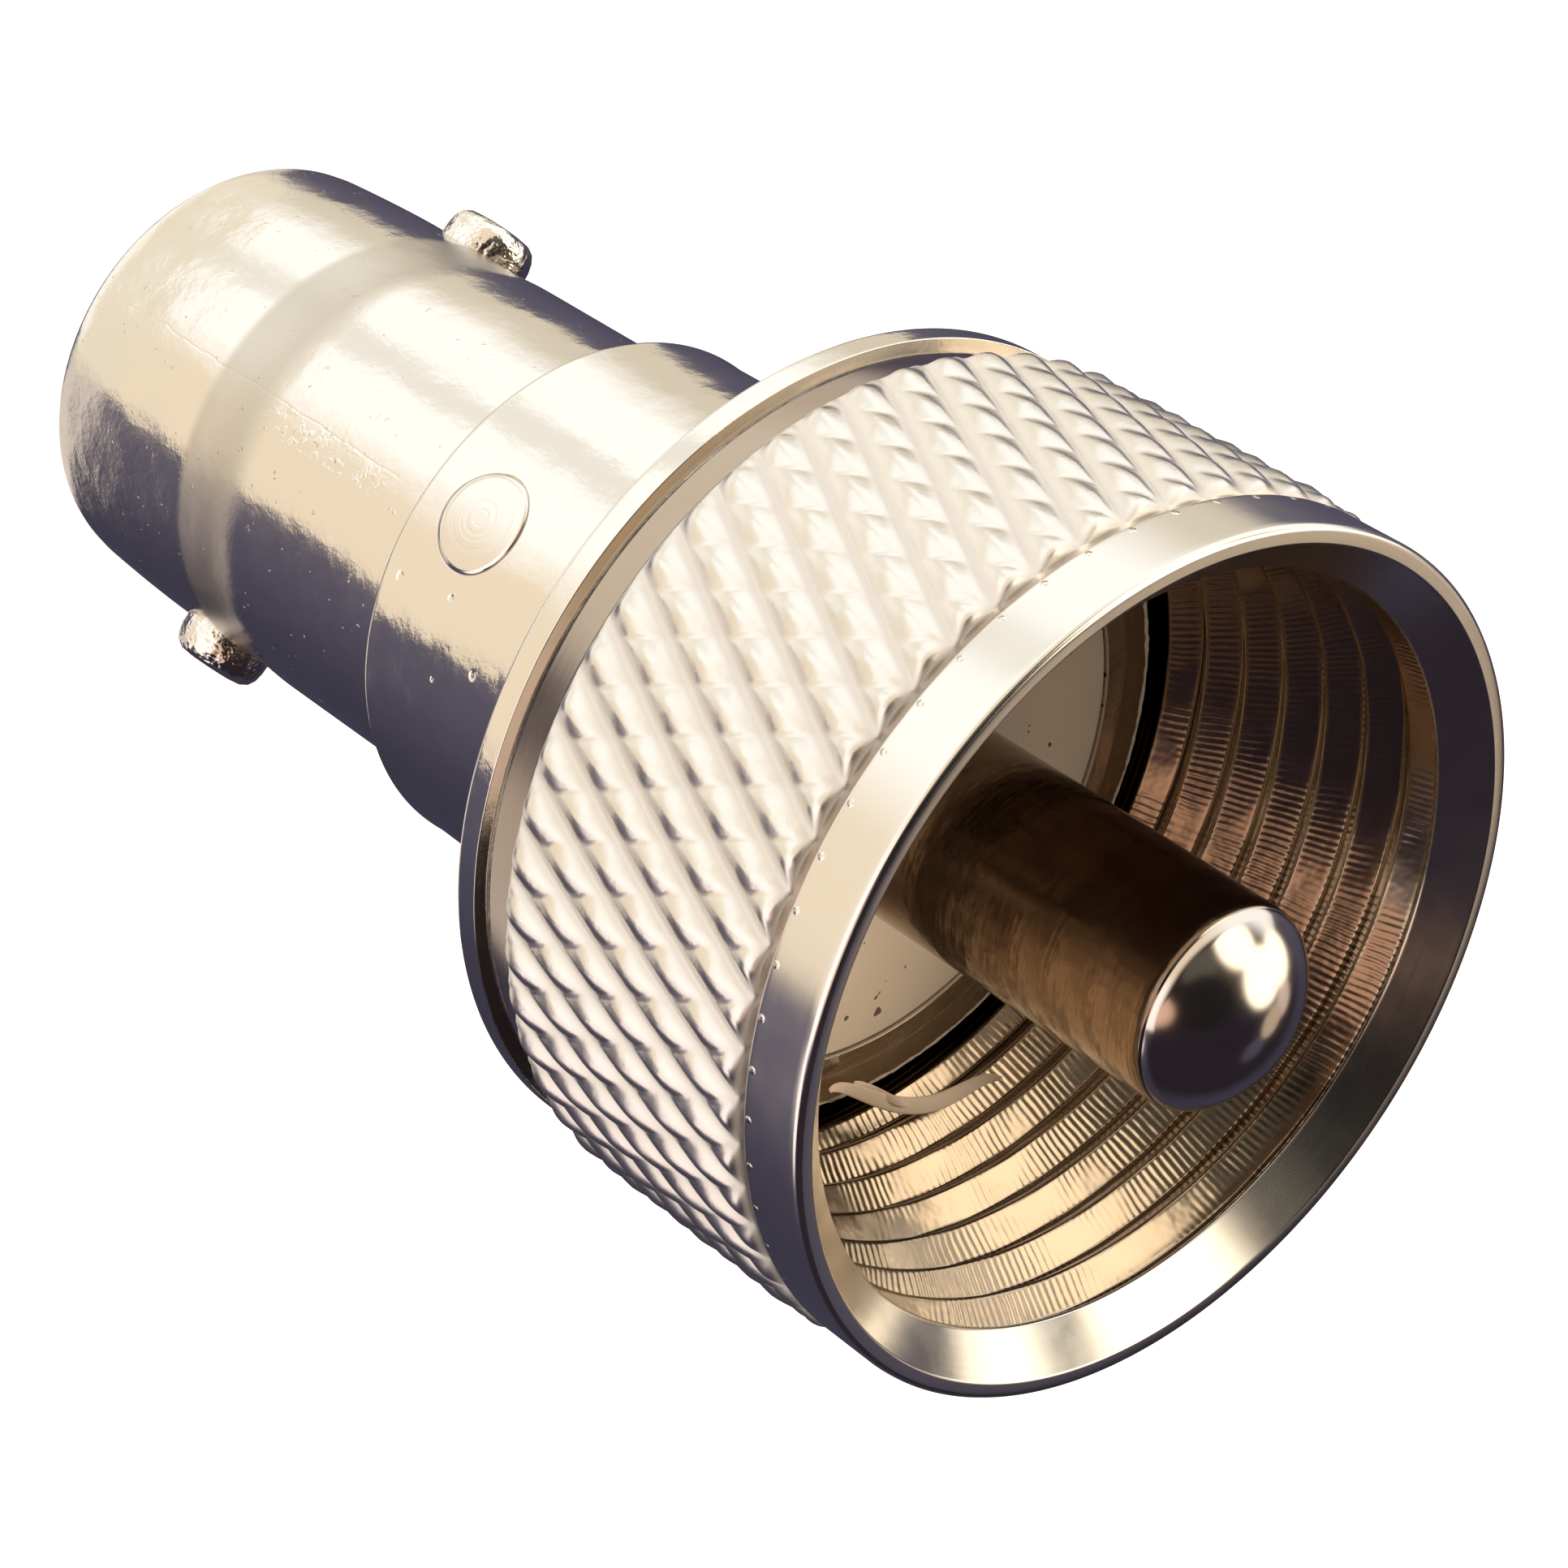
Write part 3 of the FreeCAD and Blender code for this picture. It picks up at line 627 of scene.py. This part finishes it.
material, tree, shader, place = plating("turned_nickel", NICKEL, roughness=0.13, spread=0.06)
x, y, z = parts_of(tree, place)
front_side = soft_step(tree, y, 0.0, -0.5)
bumped(tree, shader, texture_noise(tree, place, 0.5, 2.0, 0.4), depth_mm=0.07)
bumped(tree, shader, texture_noise(tree, place, 4.0, 3.0, 0.6), depth_mm=0.006)
bumped(tree, shader, turned_marks(tree, place, 14.0), depth_mm=0.0015)
for centre, reach in COLLAR_NICKS:
    nick = product(tree, spot(tree, x, z, centre, reach), front_side)
    bumped(tree, shader, nick, depth_mm=-0.012)
from_lock = distance(tree, x, z, (0.0, LOCK_HEIGHT))
lock_seam = product(
    tree, within(tree, from_lock, LOCK_RADIUS - LOCK_SEAM, LOCK_RADIUS + LOCK_SEAM, LOCK_SEAM),
    front_side)
bumped(tree, shader, lock_seam, depth_mm=-0.02)
# Painted shade: the seam round the locking pin is darkened, more on its lower side, and a thin dark
# line of shade runs along the collar's back edge.
low_side = soft_step(
    tree, math_node(tree, "ADD", x, math_node(tree, "SUBTRACT", z, LOCK_HEIGHT)), -0.9, 0.9)
lock_seam_and_shade = product(tree, lock_seam, math_node(tree, "MULTIPLY_ADD", low_side, 0.6, 0.3))
collar_edge_shade = product(tree, soft_step(tree, z, COLLAR_BACK + 0.10, COLLAR_BACK + 0.05), 0.8)
seam_and_edge_shade = math_node(tree, "MAXIMUM", lock_seam_and_shade, collar_edge_shade)
plug(tree, shader.inputs["Base Color"], blend_colours(tree, seam_and_edge_shade, NICKEL, PAINTED_SHADE_TONE))
body.data.materials.append(material)

# Mirror rays pass the body, which would else draw a black line along the neck of the nut.
body.visible_glossy = False
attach(body, "adapter")
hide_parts("adapter_body")

# Locking pin: a round pin pressed through the collar into the barrel's tail, and faced off
# almost flush with the collar. Its end shows the rings of the facing cut.

LOCK_PROUD = 0.012
LOCK_EDGE_SHARE = 0.95
LOCK_EDGE_DROP = 0.03
LOCK_FOOT = 4.5
FACING_CENTRE = (-0.06, LOCK_HEIGHT - 0.05)
FACING_FINENESS = 7.0

rise = np.linspace(0.01, 1.0, 14)[:, None]
angle = full_turn(160)
across = LOCK_RADIUS * rise * np.cos(angle)
up = LOCK_RADIUS * rise * np.sin(angle)
edge = np.clip((rise - LOCK_EDGE_SHARE) / (1 - LOCK_EDGE_SHARE), 0, 1)
face = COLLAR_RADIUS + LOCK_PROUD - LOCK_EDGE_DROP * edge ** 2
cap = np.stack((across, -np.sqrt(face ** 2 - across ** 2), LOCK_HEIGHT + up), -1)
stem = cap[-1:] * [1, 0, 1] + [0, -LOCK_FOOT, 0]
lock = solid_of_rings("lock_pin_end", np.concatenate((cap, stem)), False)

material, tree, shader, place = plating("pin_end_nickel", NICKEL, roughness=0.17, spread=0.05)
x, y, z = parts_of(tree, place)
from_centre = distance(tree, x, z, FACING_CENTRE)
facing_rings = math_node(tree, "MULTIPLY", from_centre, FACING_FINENESS)
slowly_across = math_node(tree, "MULTIPLY", x, 0.5)
facing = texture_noise(tree, vector_of(tree, facing_rings, slowly_across, 0.0), scale=1.0)
bumped(tree, shader, facing, depth_mm=0.012)
lock.data.materials.append(material)
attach(lock, "adapter")
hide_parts("locking_pin")

# Contact ring: a turned ring pressed on the body's spigot in front of the nut's lip. It
# holds the nut on. Its outer edge was parted off and has a ragged burr, painted pale as a
# highlight.

RING_HEAD = span("contact_ring")[1, 0]
BUSH_WALL = 0.3
RING_BUSH = SPIGOT_RADIUS + BUSH_WALL
HEAD_THICKNESS = 0.4
HEAD_BACK = RING_FRONT - HEAD_THICKNESS
HEAD_EDGE = RING_HEAD - 0.03
BURR_DEPTH = 0.045
BURR_WAVES = [(37, 0.4, 2.2), (83, 1.9, 2.6), (131, 2.7, 3.0), (197, 0.8, 3.4)]
# Painted shade: the ring's brown tone stands in for the shade of the nut's dark inside.
RING_SHADE_TONE = (0.74, 0.59, 0.43, 1.0)
BURR_HIGHLIGHT_TONE = (0.96, 0.90, 0.80, 1.0)

outline = softened([
    (SPIGOT_RADIUS + 0.01, FLANGE_FACE + 0.02, 0),
    (RING_BUSH, FLANGE_FACE + 0.02, 0),
    (RING_BUSH, HEAD_BACK, 0),
    (HEAD_EDGE, HEAD_BACK, 0.04),
    (HEAD_EDGE, RING_FRONT - 0.10, 0.02),
    (RING_HEAD - 0.10, RING_FRONT - 0.02, 0.02),
    (SPIGOT_RADIUS + 0.01, RING_FRONT, 0.005),
])
angle = full_turn(720)
ragged = sum(np.sin(turns * angle + shift) / divisor for turns, shift, divisor in BURR_WAVES)
at_edge = np.clip((outline[:, :1] - (RING_HEAD - 0.12)) / 0.09, 0, 1)
radius = outline[:, :1] + BURR_DEPTH * (np.clip(ragged, -1.0, 1.0) - 0.4) * at_edge
ring = solid_of_rings("nut_retaining_ring", round_z(radius, angle, outline[:, 1:]), True)

material, tree, shader, place = plating("ring_nickel", RING_SHADE_TONE, roughness=0.50, spread=0.08)
bumped(tree, shader, texture_noise(tree, place, 3.0, 3.0, 0.6), depth_mm=0.03)
bumped(tree, shader, turned_marks(tree, place, 9.0), depth_mm=0.010)
angle, radius, height = round_and_along(tree, place)
# Painted highlight: a pale, barely metallic band along the ragged outer edge, lit by the lamp.
wavy_edge = math_node(
    tree, "MULTIPLY_ADD", texture_noise(tree, place, 3.0, 3.0, 0.7), 0.22, RING_HEAD - 0.34)
burr_highlight = product(tree, soft_step(tree, math_node(tree, "SUBTRACT", radius, wavy_edge), 0.03, 0.05),
               soft_step(tree, height, HEAD_BACK + 0.2, HEAD_BACK + 0.3))
plug(tree, shader.inputs["Base Color"], blend_colours(tree, burr_highlight, RING_SHADE_TONE, BURR_HIGHLIGHT_TONE))
plug(tree, shader.inputs["Metallic"], math_node(tree, "MULTIPLY_ADD", burr_highlight, -0.75, 1.0))
ring.data.materials.append(material)
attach(ring, "adapter")
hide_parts("contact_ring")

# Insulators: the white disc round the pin in the mouth of the body, and the white core of
# the jack with a nose that stands in the bore. Both are turned from the same soft plastic,
# with a few dark specks of dirt on them.

TAIL_END = span("jack_shell")[1, 2]
PIN_ROOT_RADIUS = 1.75
CORE_RADIUS = 3.3
CORE_NOSE_BACK = 0.3
SHOULDER_THICKNESS = 1.0
CORE_STEP = SHOULDER_DEPTH + SHOULDER_THICKNESS
SOCKET_BORE = 1.15
DISC_GAP = 0.02
CORE_GAP = 0.01
PLASTIC = (0.80, 0.67, 0.53, 1.0)
PALE_PLASTIC = (0.84, 0.73, 0.60, 1.0)
DIRT = (0.16, 0.12, 0.10, 1.0)
PLASTIC_ROUGHNESS = 0.45

disc = turned("mouth_insulator", softened([
    (PIN_ROOT_RADIUS, TAIL_END, 0),
    (TAIL_RADIUS - DISC_GAP, TAIL_END, 0),
    (TAIL_RADIUS - DISC_GAP, DISC_BACK + DISC_GAP, 0),
    (DISC_RADIUS - DISC_GAP, DISC_BACK + DISC_GAP, 0),
    (DISC_RADIUS - DISC_GAP, DISC_FRONT, 0.05),
    (PIN_ROOT_RADIUS, DISC_FRONT, 0),
]), loop=True)
core = turned("jack_core", softened([
    (SOCKET_BORE, CORE_NOSE_BACK, 0.04),
    (CORE_NOSE_RADIUS - CORE_GAP, CORE_NOSE_BACK, 0.08),
    (CORE_NOSE_RADIUS - CORE_GAP, CORE_STEP, 0),
    (CORE_RADIUS - CORE_GAP, CORE_STEP, 0),
    (CORE_RADIUS - CORE_GAP, TAIL_END - 0.02, 0),
    (SOCKET_BORE, TAIL_END - 0.02, 0),
]), loop=True)

material, tree, shader = new_material("white_insulator")
shader.inputs["Roughness"].default_value = PLASTIC_ROUGHNESS
shader.inputs["Subsurface Weight"].default_value = 0.25
shader.inputs["Subsurface Radius"].default_value = (1.0, 0.8, 0.6)
shader.inputs["Subsurface Scale"].default_value = 0.5 * MM
place = place_in_mm(tree)
specks = soft_step(tree, texture_noise(tree, place, 3.4, 1.0), 0.735, 0.75)
cloud = texture_noise(tree, place, 0.7, 3.0)
tone = blend_colours(tree, cloud, PLASTIC, PALE_PLASTIC)
plug(tree, shader.inputs["Base Color"], blend_colours(tree, specks, tone, DIRT))
bumped(tree, shader, turned_marks(tree, place, 9.0), depth_mm=0.004)
for piece, node in ((disc, "coupling_insulator"), (core, "jack_insulator")):
    piece.data.materials.append(material)
    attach(piece, "adapter")
    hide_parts(node)

# Centre pin: a solid turned pin, polished on its domed tip, its shaft painted dark as a reflection
# of the nut's dark inside.
# It stands in the disc on a slightly thinner root, which the disc hides.

PIN_RADIUS = 2.0
PIN_EYE = 0.01
ROOT_BACK = 16.5
PIN_REACH = 9.2
SHAFT_END = DISC_FRONT + PIN_REACH
DOME_HEIGHT = span("centre_pin")[1, 2] - SHAFT_END
TIP_TONE = (0.72, 0.66, 0.60, 1.0)
SHAFT_REFLECTION_TONE = (0.25, 0.175, 0.12, 1.0)

dome_radius = (PIN_RADIUS ** 2 + DOME_HEIGHT ** 2) / (2 * DOME_HEIGHT)
rise = np.linspace(np.arcsin(PIN_RADIUS / dome_radius) * 0.93, 0.01, 24)
dome = np.stack((
    dome_radius * np.sin(rise),
    SHAFT_END + DOME_HEIGHT - dome_radius + dome_radius * np.cos(rise)), -1)
pin = turned("domed_pin", np.vstack((
    [(PIN_EYE, ROOT_BACK), (PIN_ROOT_RADIUS, ROOT_BACK), (PIN_ROOT_RADIUS, DISC_FRONT + 0.01),
     (PIN_RADIUS, DISC_FRONT + 0.02), (PIN_RADIUS, DISC_FRONT + 0.1),
     (PIN_RADIUS, SHAFT_END - 0.35), (PIN_RADIUS, SHAFT_END - 0.25),
     (PIN_RADIUS - 0.02, SHAFT_END - 0.06)],
    dome,
)))

material, tree, shader, place = plating("pin_nickel", TIP_TONE, roughness=0.16, spread=0.05)
x, y, z = parts_of(tree, place)
# Painted reflection: the shaft below the dome is coloured dark brown.
shaft = soft_step(tree, z, SHAFT_END + 0.02, SHAFT_END - 0.04)
plug(tree, shader.inputs["Base Color"], blend_colours(tree, shaft, TIP_TONE, SHAFT_REFLECTION_TONE))
bumped(tree, shader, product(tree, turned_marks(tree, place, 7.0), shaft), depth_mm=0.004)
bumped(tree, shader, product(tree, texture_noise(tree, place, 0.9, 3.0), shaft), depth_mm=0.035)
pin.data.materials.append(material)
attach(pin, "adapter")
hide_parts("centre_pin")

# Socket contact: the slotted spring socket in the middle of the jack, plated spring metal.
# It keeps the solid's own mesh, because it lies deep in the bore.

SPRING_METAL = (0.86, 0.66, 0.34, 1.0)

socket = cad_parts["socket_contact"]
material, tree, shader, place = plating("contact_metal", SPRING_METAL, roughness=0.26, spread=0.08)
bumped(tree, shader, turned_marks(tree, place, 9.0), depth_mm=0.003)
socket.data.materials.clear()
socket.data.materials.append(material)

# Coupling nut, outside: diamond knurl between a plain neck and the rim band, with a thin
# turned gap before the band. The knurl was rolled, so its points are soft, and the grooves of
# one hand are deeper than those of the other. The rolls left a row of dots on the band.

NUT_BACK, NUT_FRONT = span("coupling_nut")[:, 2]
LIP_THICKNESS = 0.5
LIP_FRONT = NUT_BACK + LIP_THICKNESS
TURNING_GAP = 0.1
LIP_BORE = RING_BUSH + TURNING_GAP
NECK_LENGTH = 0.92
KNURL_BACK = NUT_BACK + NECK_LENGTH
KNURL_LENGTH = 6.4
KNURL_FRONT = KNURL_BACK + KNURL_LENGTH
KNURL_ROOT = FLANGE_RADIUS
KNURL_HEIGHT = 0.27
KNURL_COLUMNS = 54
FIRST_ROW = 0.5
LAST_ROW = 7.0
CELL_STEPS = 6
CROSS_DEPTH = 0.62
FLAT_TOP = 0.96
FACET_SHARPNESS = 5.0
FACET_SWELL = 1.45
VALLEY_FILL = 0.05
END_ROUNDING = 0.42
NECK_INSET = 0.30
NECK_BACK_RADIUS = FLANGE_RADIUS - NECK_INSET
GAP_INSET = 0.16
GAP_RADIUS = FLANGE_RADIUS - GAP_INSET
GAP_WIDTH = 0.2
BAND_BACK = KNURL_FRONT + GAP_WIDTH
BAND_STAND_OUT = 0.11
BAND_RADIUS = FLANGE_RADIUS + BAND_STAND_OUT
NUT_WALL = 0.94
THREAD_CREST = FLANGE_RADIUS - NUT_WALL
MOUTH_FLARE = 0.72
MOUTH_RADIUS = THREAD_CREST + MOUTH_FLARE
MOUTH_DEPTH = 0.7
MOUTH_BACK = NUT_FRONT - MOUTH_DEPTH
LINER_DEPTH = 0.58
LINER_RADIUS = THREAD_CREST + LINER_DEPTH
LINER_BACK = LIP_FRONT + 0.4
LINER_FRONT = MOUTH_BACK - 0.06
LINER_RINGS = 7


def knurl_height(column, row):
    """Height of the knurl from 0 to 1 at a place counted in half columns and rows.

    From the nearest deep groove (column - row odd) the knurl rises like a roof from 0 to 1,
    and from the nearest shallow one (column + row odd) from 1 - CROSS_DEPTH to 1. The lowest
    of these two and FLAT_TOP counts, with the change between them rounded by a soft minimum
    -log(sum of exp(-s h)) / s. A power swells the facets.
    """
    deep = np.abs((column - row) % 2 - 1)
    shallow = 1 - CROSS_DEPTH * (1 - np.abs((column + row) % 2 - 1))
    low = -np.log(np.exp(-FACET_SHARPNESS * deep) + np.exp(-FACET_SHARPNESS * shallow)
                  + np.exp(-FACET_SHARPNESS * FLAT_TOP)) / FACET_SHARPNESS
    return 1 - (1 - np.clip(low + VALLEY_FILL, 0, 1)) ** FACET_SWELL


# The grid leans with the deep grooves, and the diagonals of its cells follow the shallow ones.
rows_shown = LAST_ROW - FIRST_ROW
columns_round = 2 * KNURL_COLUMNS * CELL_STEPS
row_steps = int(round(rows_shown * 2 * CELL_STEPS)) + 1
knurl_row = np.linspace(FIRST_ROW, LAST_ROW, row_steps)[:, None]
knurl_column = np.arange(columns_round)[None, :] / CELL_STEPS + knurl_row
from_end = np.minimum(knurl_row - FIRST_ROW, LAST_ROW - knurl_row)
end_round = np.sqrt(1 - (1 - np.clip(from_end / END_ROUNDING, 0, 1)) ** 2)
knurl_radius = KNURL_ROOT + KNURL_HEIGHT * knurl_height(knurl_column, knurl_row) * end_round
knurl_z = KNURL_BACK + KNURL_LENGTH * (knurl_row - FIRST_ROW) / rows_shown

before = softened([
    (LINER_RADIUS, LINER_BACK, 0),
    (LINER_RADIUS, LIP_FRONT, 0.04),
    (LIP_BORE, LIP_FRONT, 0.05),
    (LIP_BORE, NUT_BACK, 0),
    (NECK_BACK_RADIUS, NUT_BACK, 0.03),
    (KNURL_ROOT - 0.03, KNURL_BACK - 0.05, 0.02),
    (KNURL_ROOT, KNURL_BACK - 0.02, 0),
])
after = softened([
    (GAP_RADIUS, KNURL_FRONT + 0.02, 0),
    (GAP_RADIUS, BAND_BACK - 0.03, 0),
    (BAND_RADIUS, BAND_BACK, 0.07),
    (BAND_RADIUS, NUT_FRONT, 0.13),
    (MOUTH_RADIUS, NUT_FRONT, 0.02),
    (THREAD_CREST, MOUTH_BACK, 0.03),
    (THREAD_CREST, MOUTH_BACK - 0.04, 0),
    (LINER_RADIUS, LINER_FRONT, 0),
])

# The liner's rings turn the lean of the grid back to where it began.
leaning = np.linspace(1, 0, LINER_RINGS + 2)[1:-1, None]
liner_z = LINER_BACK + (LINER_FRONT - LINER_BACK) * leaning


def all_round(column):
    """A column of values, one for each ring, repeated for every point round."""
    return np.repeat(column, columns_round, axis=1)


rings = round_z(
    np.vstack((all_round(before[:, :1]), knurl_radius, all_round(after[:, :1]),
               np.full((LINER_RINGS, columns_round), LINER_RADIUS))),
    np.pi / KNURL_COLUMNS * np.vstack((
        np.repeat(knurl_column[:1], len(before), axis=0), knurl_column,
        np.repeat(knurl_column[-1:], len(after), axis=0),
        knurl_column[:1] + rows_shown * leaning)),
    all_round(np.vstack((before[:, 1:], knurl_z, after[:, 1:], liner_z))))
nut = solid_of_rings("knurled_nut", rings, True, slanted=True)

DOT_HEIGHT = BAND_BACK + 0.14
DOT_REACH = 0.08
DOT_SHIFT = 0.35
DOT_SPACING = 0.98
# Painted shade: the neck between the flange and the knurl is darkened.
NECK_SHADE_TONE = (0.44, 0.36, 0.28, 1.0)
# Painted shade: the narrow turned gap before the band is darkened.
GAP_SHADE_TONE = (0.40, 0.26, 0.20, 1.0)
# Painted shade: the lip deep inside the nut is darkened nearly to black.
LIP_SHADE_TONE = (0.10, 0.065, 0.045, 1.0)

material, tree, shader, place = plating("nut_nickel", NICKEL, roughness=0.20, spread=0.06)
angle, radius, height = round_and_along(tree, place)
outside = soft_step(tree, radius, LINER_RADIUS + 0.01, LINER_RADIUS + 0.05)
neck = product(tree, soft_step(tree, height, KNURL_BACK + 0.02, KNURL_BACK - 0.06), outside)
gap = within(tree, height, KNURL_FRONT + 0.02, BAND_BACK - 0.02, 0.03)
lip = product(tree, soft_step(tree, radius, LINER_RADIUS - 0.01, LINER_RADIUS - 0.04),
              soft_step(tree, height, LIP_FRONT + 0.32, LIP_FRONT + 0.22))
tone = blend_colours(tree, neck, NICKEL, NECK_SHADE_TONE)
tone = blend_colours(tree, lip, tone, LIP_SHADE_TONE)
plug(tree, shader.inputs["Base Color"], blend_colours(tree, gap, tone, GAP_SHADE_TONE))
on_knurl = within(tree, height, KNURL_BACK, KNURL_FRONT, 0.05)
valley = product(tree, soft_step(tree, radius, KNURL_ROOT + 0.17, KNURL_ROOT + 0.03), on_knurl)
roughened(tree, shader, on_knurl, 0.08)
roughened(tree, shader, valley, 0.16)
plug(tree, shader.inputs["Metallic"], math_node(tree, "MULTIPLY_ADD", valley, -0.55, 1.0))
bumped(tree, shader, product(tree, texture_noise(tree, place, 4.0), on_knurl), depth_mm=0.008)
bumped(tree, shader, turned_marks(tree, place, 6.0), depth_mm=0.0010)
count = math_node(tree, "MULTIPLY_ADD", angle, KNURL_COLUMNS / (2 * np.pi), DOT_SHIFT)
beside = math_node(tree, "SUBTRACT", math_node(tree, "FRACT", count), 0.5)
beside = math_node(tree, "MULTIPLY", beside, DOT_SPACING)
dots = spot(tree, beside, height, (0.0, DOT_HEIGHT), DOT_REACH)
bumped(tree, shader, dots, depth_mm=0.02)
nut.data.materials.append(material)
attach(nut, "nut")
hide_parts("coupling_nut")

# Coupling nut, inside: the real right-hand thread, 24 to the inch, between the undercut behind
# it and the bevelled mouth. Its cut is a notch almost as wide as the pitch, with narrow crests
# between the turns, and the tap left fine chatter marks across it.

THREAD_PITCH = 25.4 / 24
CUT_DEPTH = 0.5
CUT_HALF_WIDTH = 0.52
CUT_RUN_IN = 0.73
CUT_START = LIP_FRONT + CUT_RUN_IN
FIRST_TURN, LAST_TURN, FADE = -0.5, 6.5, 0.25
ROOT_ROUNDING = 0.02
CREST_ROUNDING = 0.0012
UNDERCUT_RADIUS = THREAD_CREST + CUT_DEPTH
UNDERCUT_LENGTH = 0.14
UNDERCUT_END = LIP_FRONT + UNDERCUT_LENGTH
THREAD_ROUND = 360
STEPS_PER_TURN = 24

angle = full_turn(THREAD_ROUND)
height = np.arange(LIP_FRONT + 0.02, MOUTH_BACK - 0.01, THREAD_PITCH / STEPS_PER_TURN)[:, None]
turns = (height - CUT_START) / THREAD_PITCH - angle / (2 * np.pi)
wound = np.round(turns) + angle / (2 * np.pi)
depth = CUT_DEPTH * (np.clip((wound - FIRST_TURN) / FADE, 0, 1)
                     * np.clip((LAST_TURN - wound) / FADE, 0, 1))
aside = np.abs(turns - np.round(turns)) * THREAD_PITCH
notch = 1 - np.sqrt(aside ** 2 + ROOT_ROUNDING ** 2) / CUT_HALF_WIDTH
wall = THREAD_CREST + depth * (notch + np.sqrt(notch ** 2 + CREST_ROUNDING)) / 2
wall = np.maximum(wall, UNDERCUT_RADIUS - np.clip(height - UNDERCUT_END, 0, CUT_DEPTH))
outside = np.full((1, THREAD_ROUND), LINER_RADIUS + 0.02)
thread = solid_of_rings("nut_thread", round_z(
    np.vstack((outside, wall, outside)), angle,
    np.vstack((height[:1], height, height[-1:]))), True)

CHATTER_ROUND = 320.0
CHATTER_DRIFT = 14.0
# Painted shade: the thread is coloured a darker brown than the same plating outside the nut.
THREAD_SHADE_TONE = (0.52, 0.42, 0.315, 1.0)
# Painted shade: the undercut deep in the nut is darkened nearly to black.
UNDERCUT_SHADE_TONE = (0.10, 0.07, 0.05, 1.0)

material, tree, shader, place = plating("thread_nickel", THREAD_SHADE_TONE, roughness=0.22, spread=0.06)
angle, radius, height = round_and_along(tree, place)
on_flanks = product(
    tree, within(tree, height, LIP_FRONT + 0.22, MOUTH_BACK, 0.1),
    soft_step(tree, radius, THREAD_CREST, THREAD_CREST + 0.08))
patchy = soft_step(tree, texture_noise(tree, place, 0.55), 0.38, 0.56)
phase = math_node(tree, "MULTIPLY", texture_noise(tree, place, 0.5), CHATTER_DRIFT)
ripple = math_node(tree, "SINE", math_node(tree, "MULTIPLY_ADD", angle, CHATTER_ROUND, phase))
bumped(tree, shader, product(tree, ripple, on_flanks, patchy), depth_mm=0.0026)
bumped(tree, shader, texture_noise(tree, place, 1.0, 3.0), depth_mm=0.03)
in_undercut = soft_step(tree, height, UNDERCUT_END + 0.24, UNDERCUT_END + 0.14)
plug(tree, shader.inputs["Base Color"],
     blend_colours(tree, in_undercut, THREAD_SHADE_TONE, UNDERCUT_SHADE_TONE))
thread.data.materials.append(material)
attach(thread, "nut")

# Plastic shavings: two thin curled strands of the insulator's plastic, left from turning it.
# They cling to the contact ring and the first turns of the thread.

# The points that each strand runs through, in millimetres, and half its width.
SHAVING_STRANDS = {
    "shaving_long": ([
        (5.28, 3.52, 20.95), (5.09, 3.93, 21.00), (4.93, 4.47, 21.15), (4.78, 4.93, 21.50),
        (4.49, 5.35, 21.75), (4.06, 5.74, 21.80), (3.61, 6.11, 21.85), (3.30, 6.23, 22.20)], 0.17),
    "shaving_short": ([
        (4.90, 4.01, 20.95), (4.84, 4.44, 21.10), (4.79, 4.69, 21.40), (4.70, 5.01, 21.60)], 0.10),
}
SHAVING_HALF_THICKNESS = 0.035
SHAVING_FACING = (0.0, -0.67, 0.74)
HIGHEST_DEGREE = 4

shaving_material, tree, shader = new_material("shaving_plastic")
shader.inputs["Base Color"].default_value = PLASTIC
shader.inputs["Roughness"].default_value = PLASTIC_ROUGHNESS
for strand_name, (waypoints, half_width) in SHAVING_STRANDS.items():
    share = np.linspace(0, 1, 61)
    degree = min(HIGHEST_DEGREE, len(waypoints) - 1)
    centre = np.vander(share, degree + 1) @ np.polyfit(
        np.linspace(0, 1, len(waypoints)), np.array(waypoints), degree)
    ahead = np.gradient(centre, axis=0)
    ahead /= np.linalg.norm(ahead, axis=1)[:, None]
    across = np.cross(ahead, SHAVING_FACING)
    across /= np.linalg.norm(across, axis=1)[:, None]
    upward = np.cross(across, ahead)
    taper = np.sin(np.pi * np.clip(share, 0.01, 0.99))[:, None, None] ** 0.4
    angle = full_turn(16)[:, :, None]
    rings = (centre[:, None] + half_width * taper * np.cos(angle) * across[:, None]
             + SHAVING_HALF_THICKNESS * taper * np.sin(angle) * upward[:, None])
    strand = solid_of_rings(strand_name, rings, False)
    strand.data.materials.append(shaving_material)
    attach(strand, "adapter")
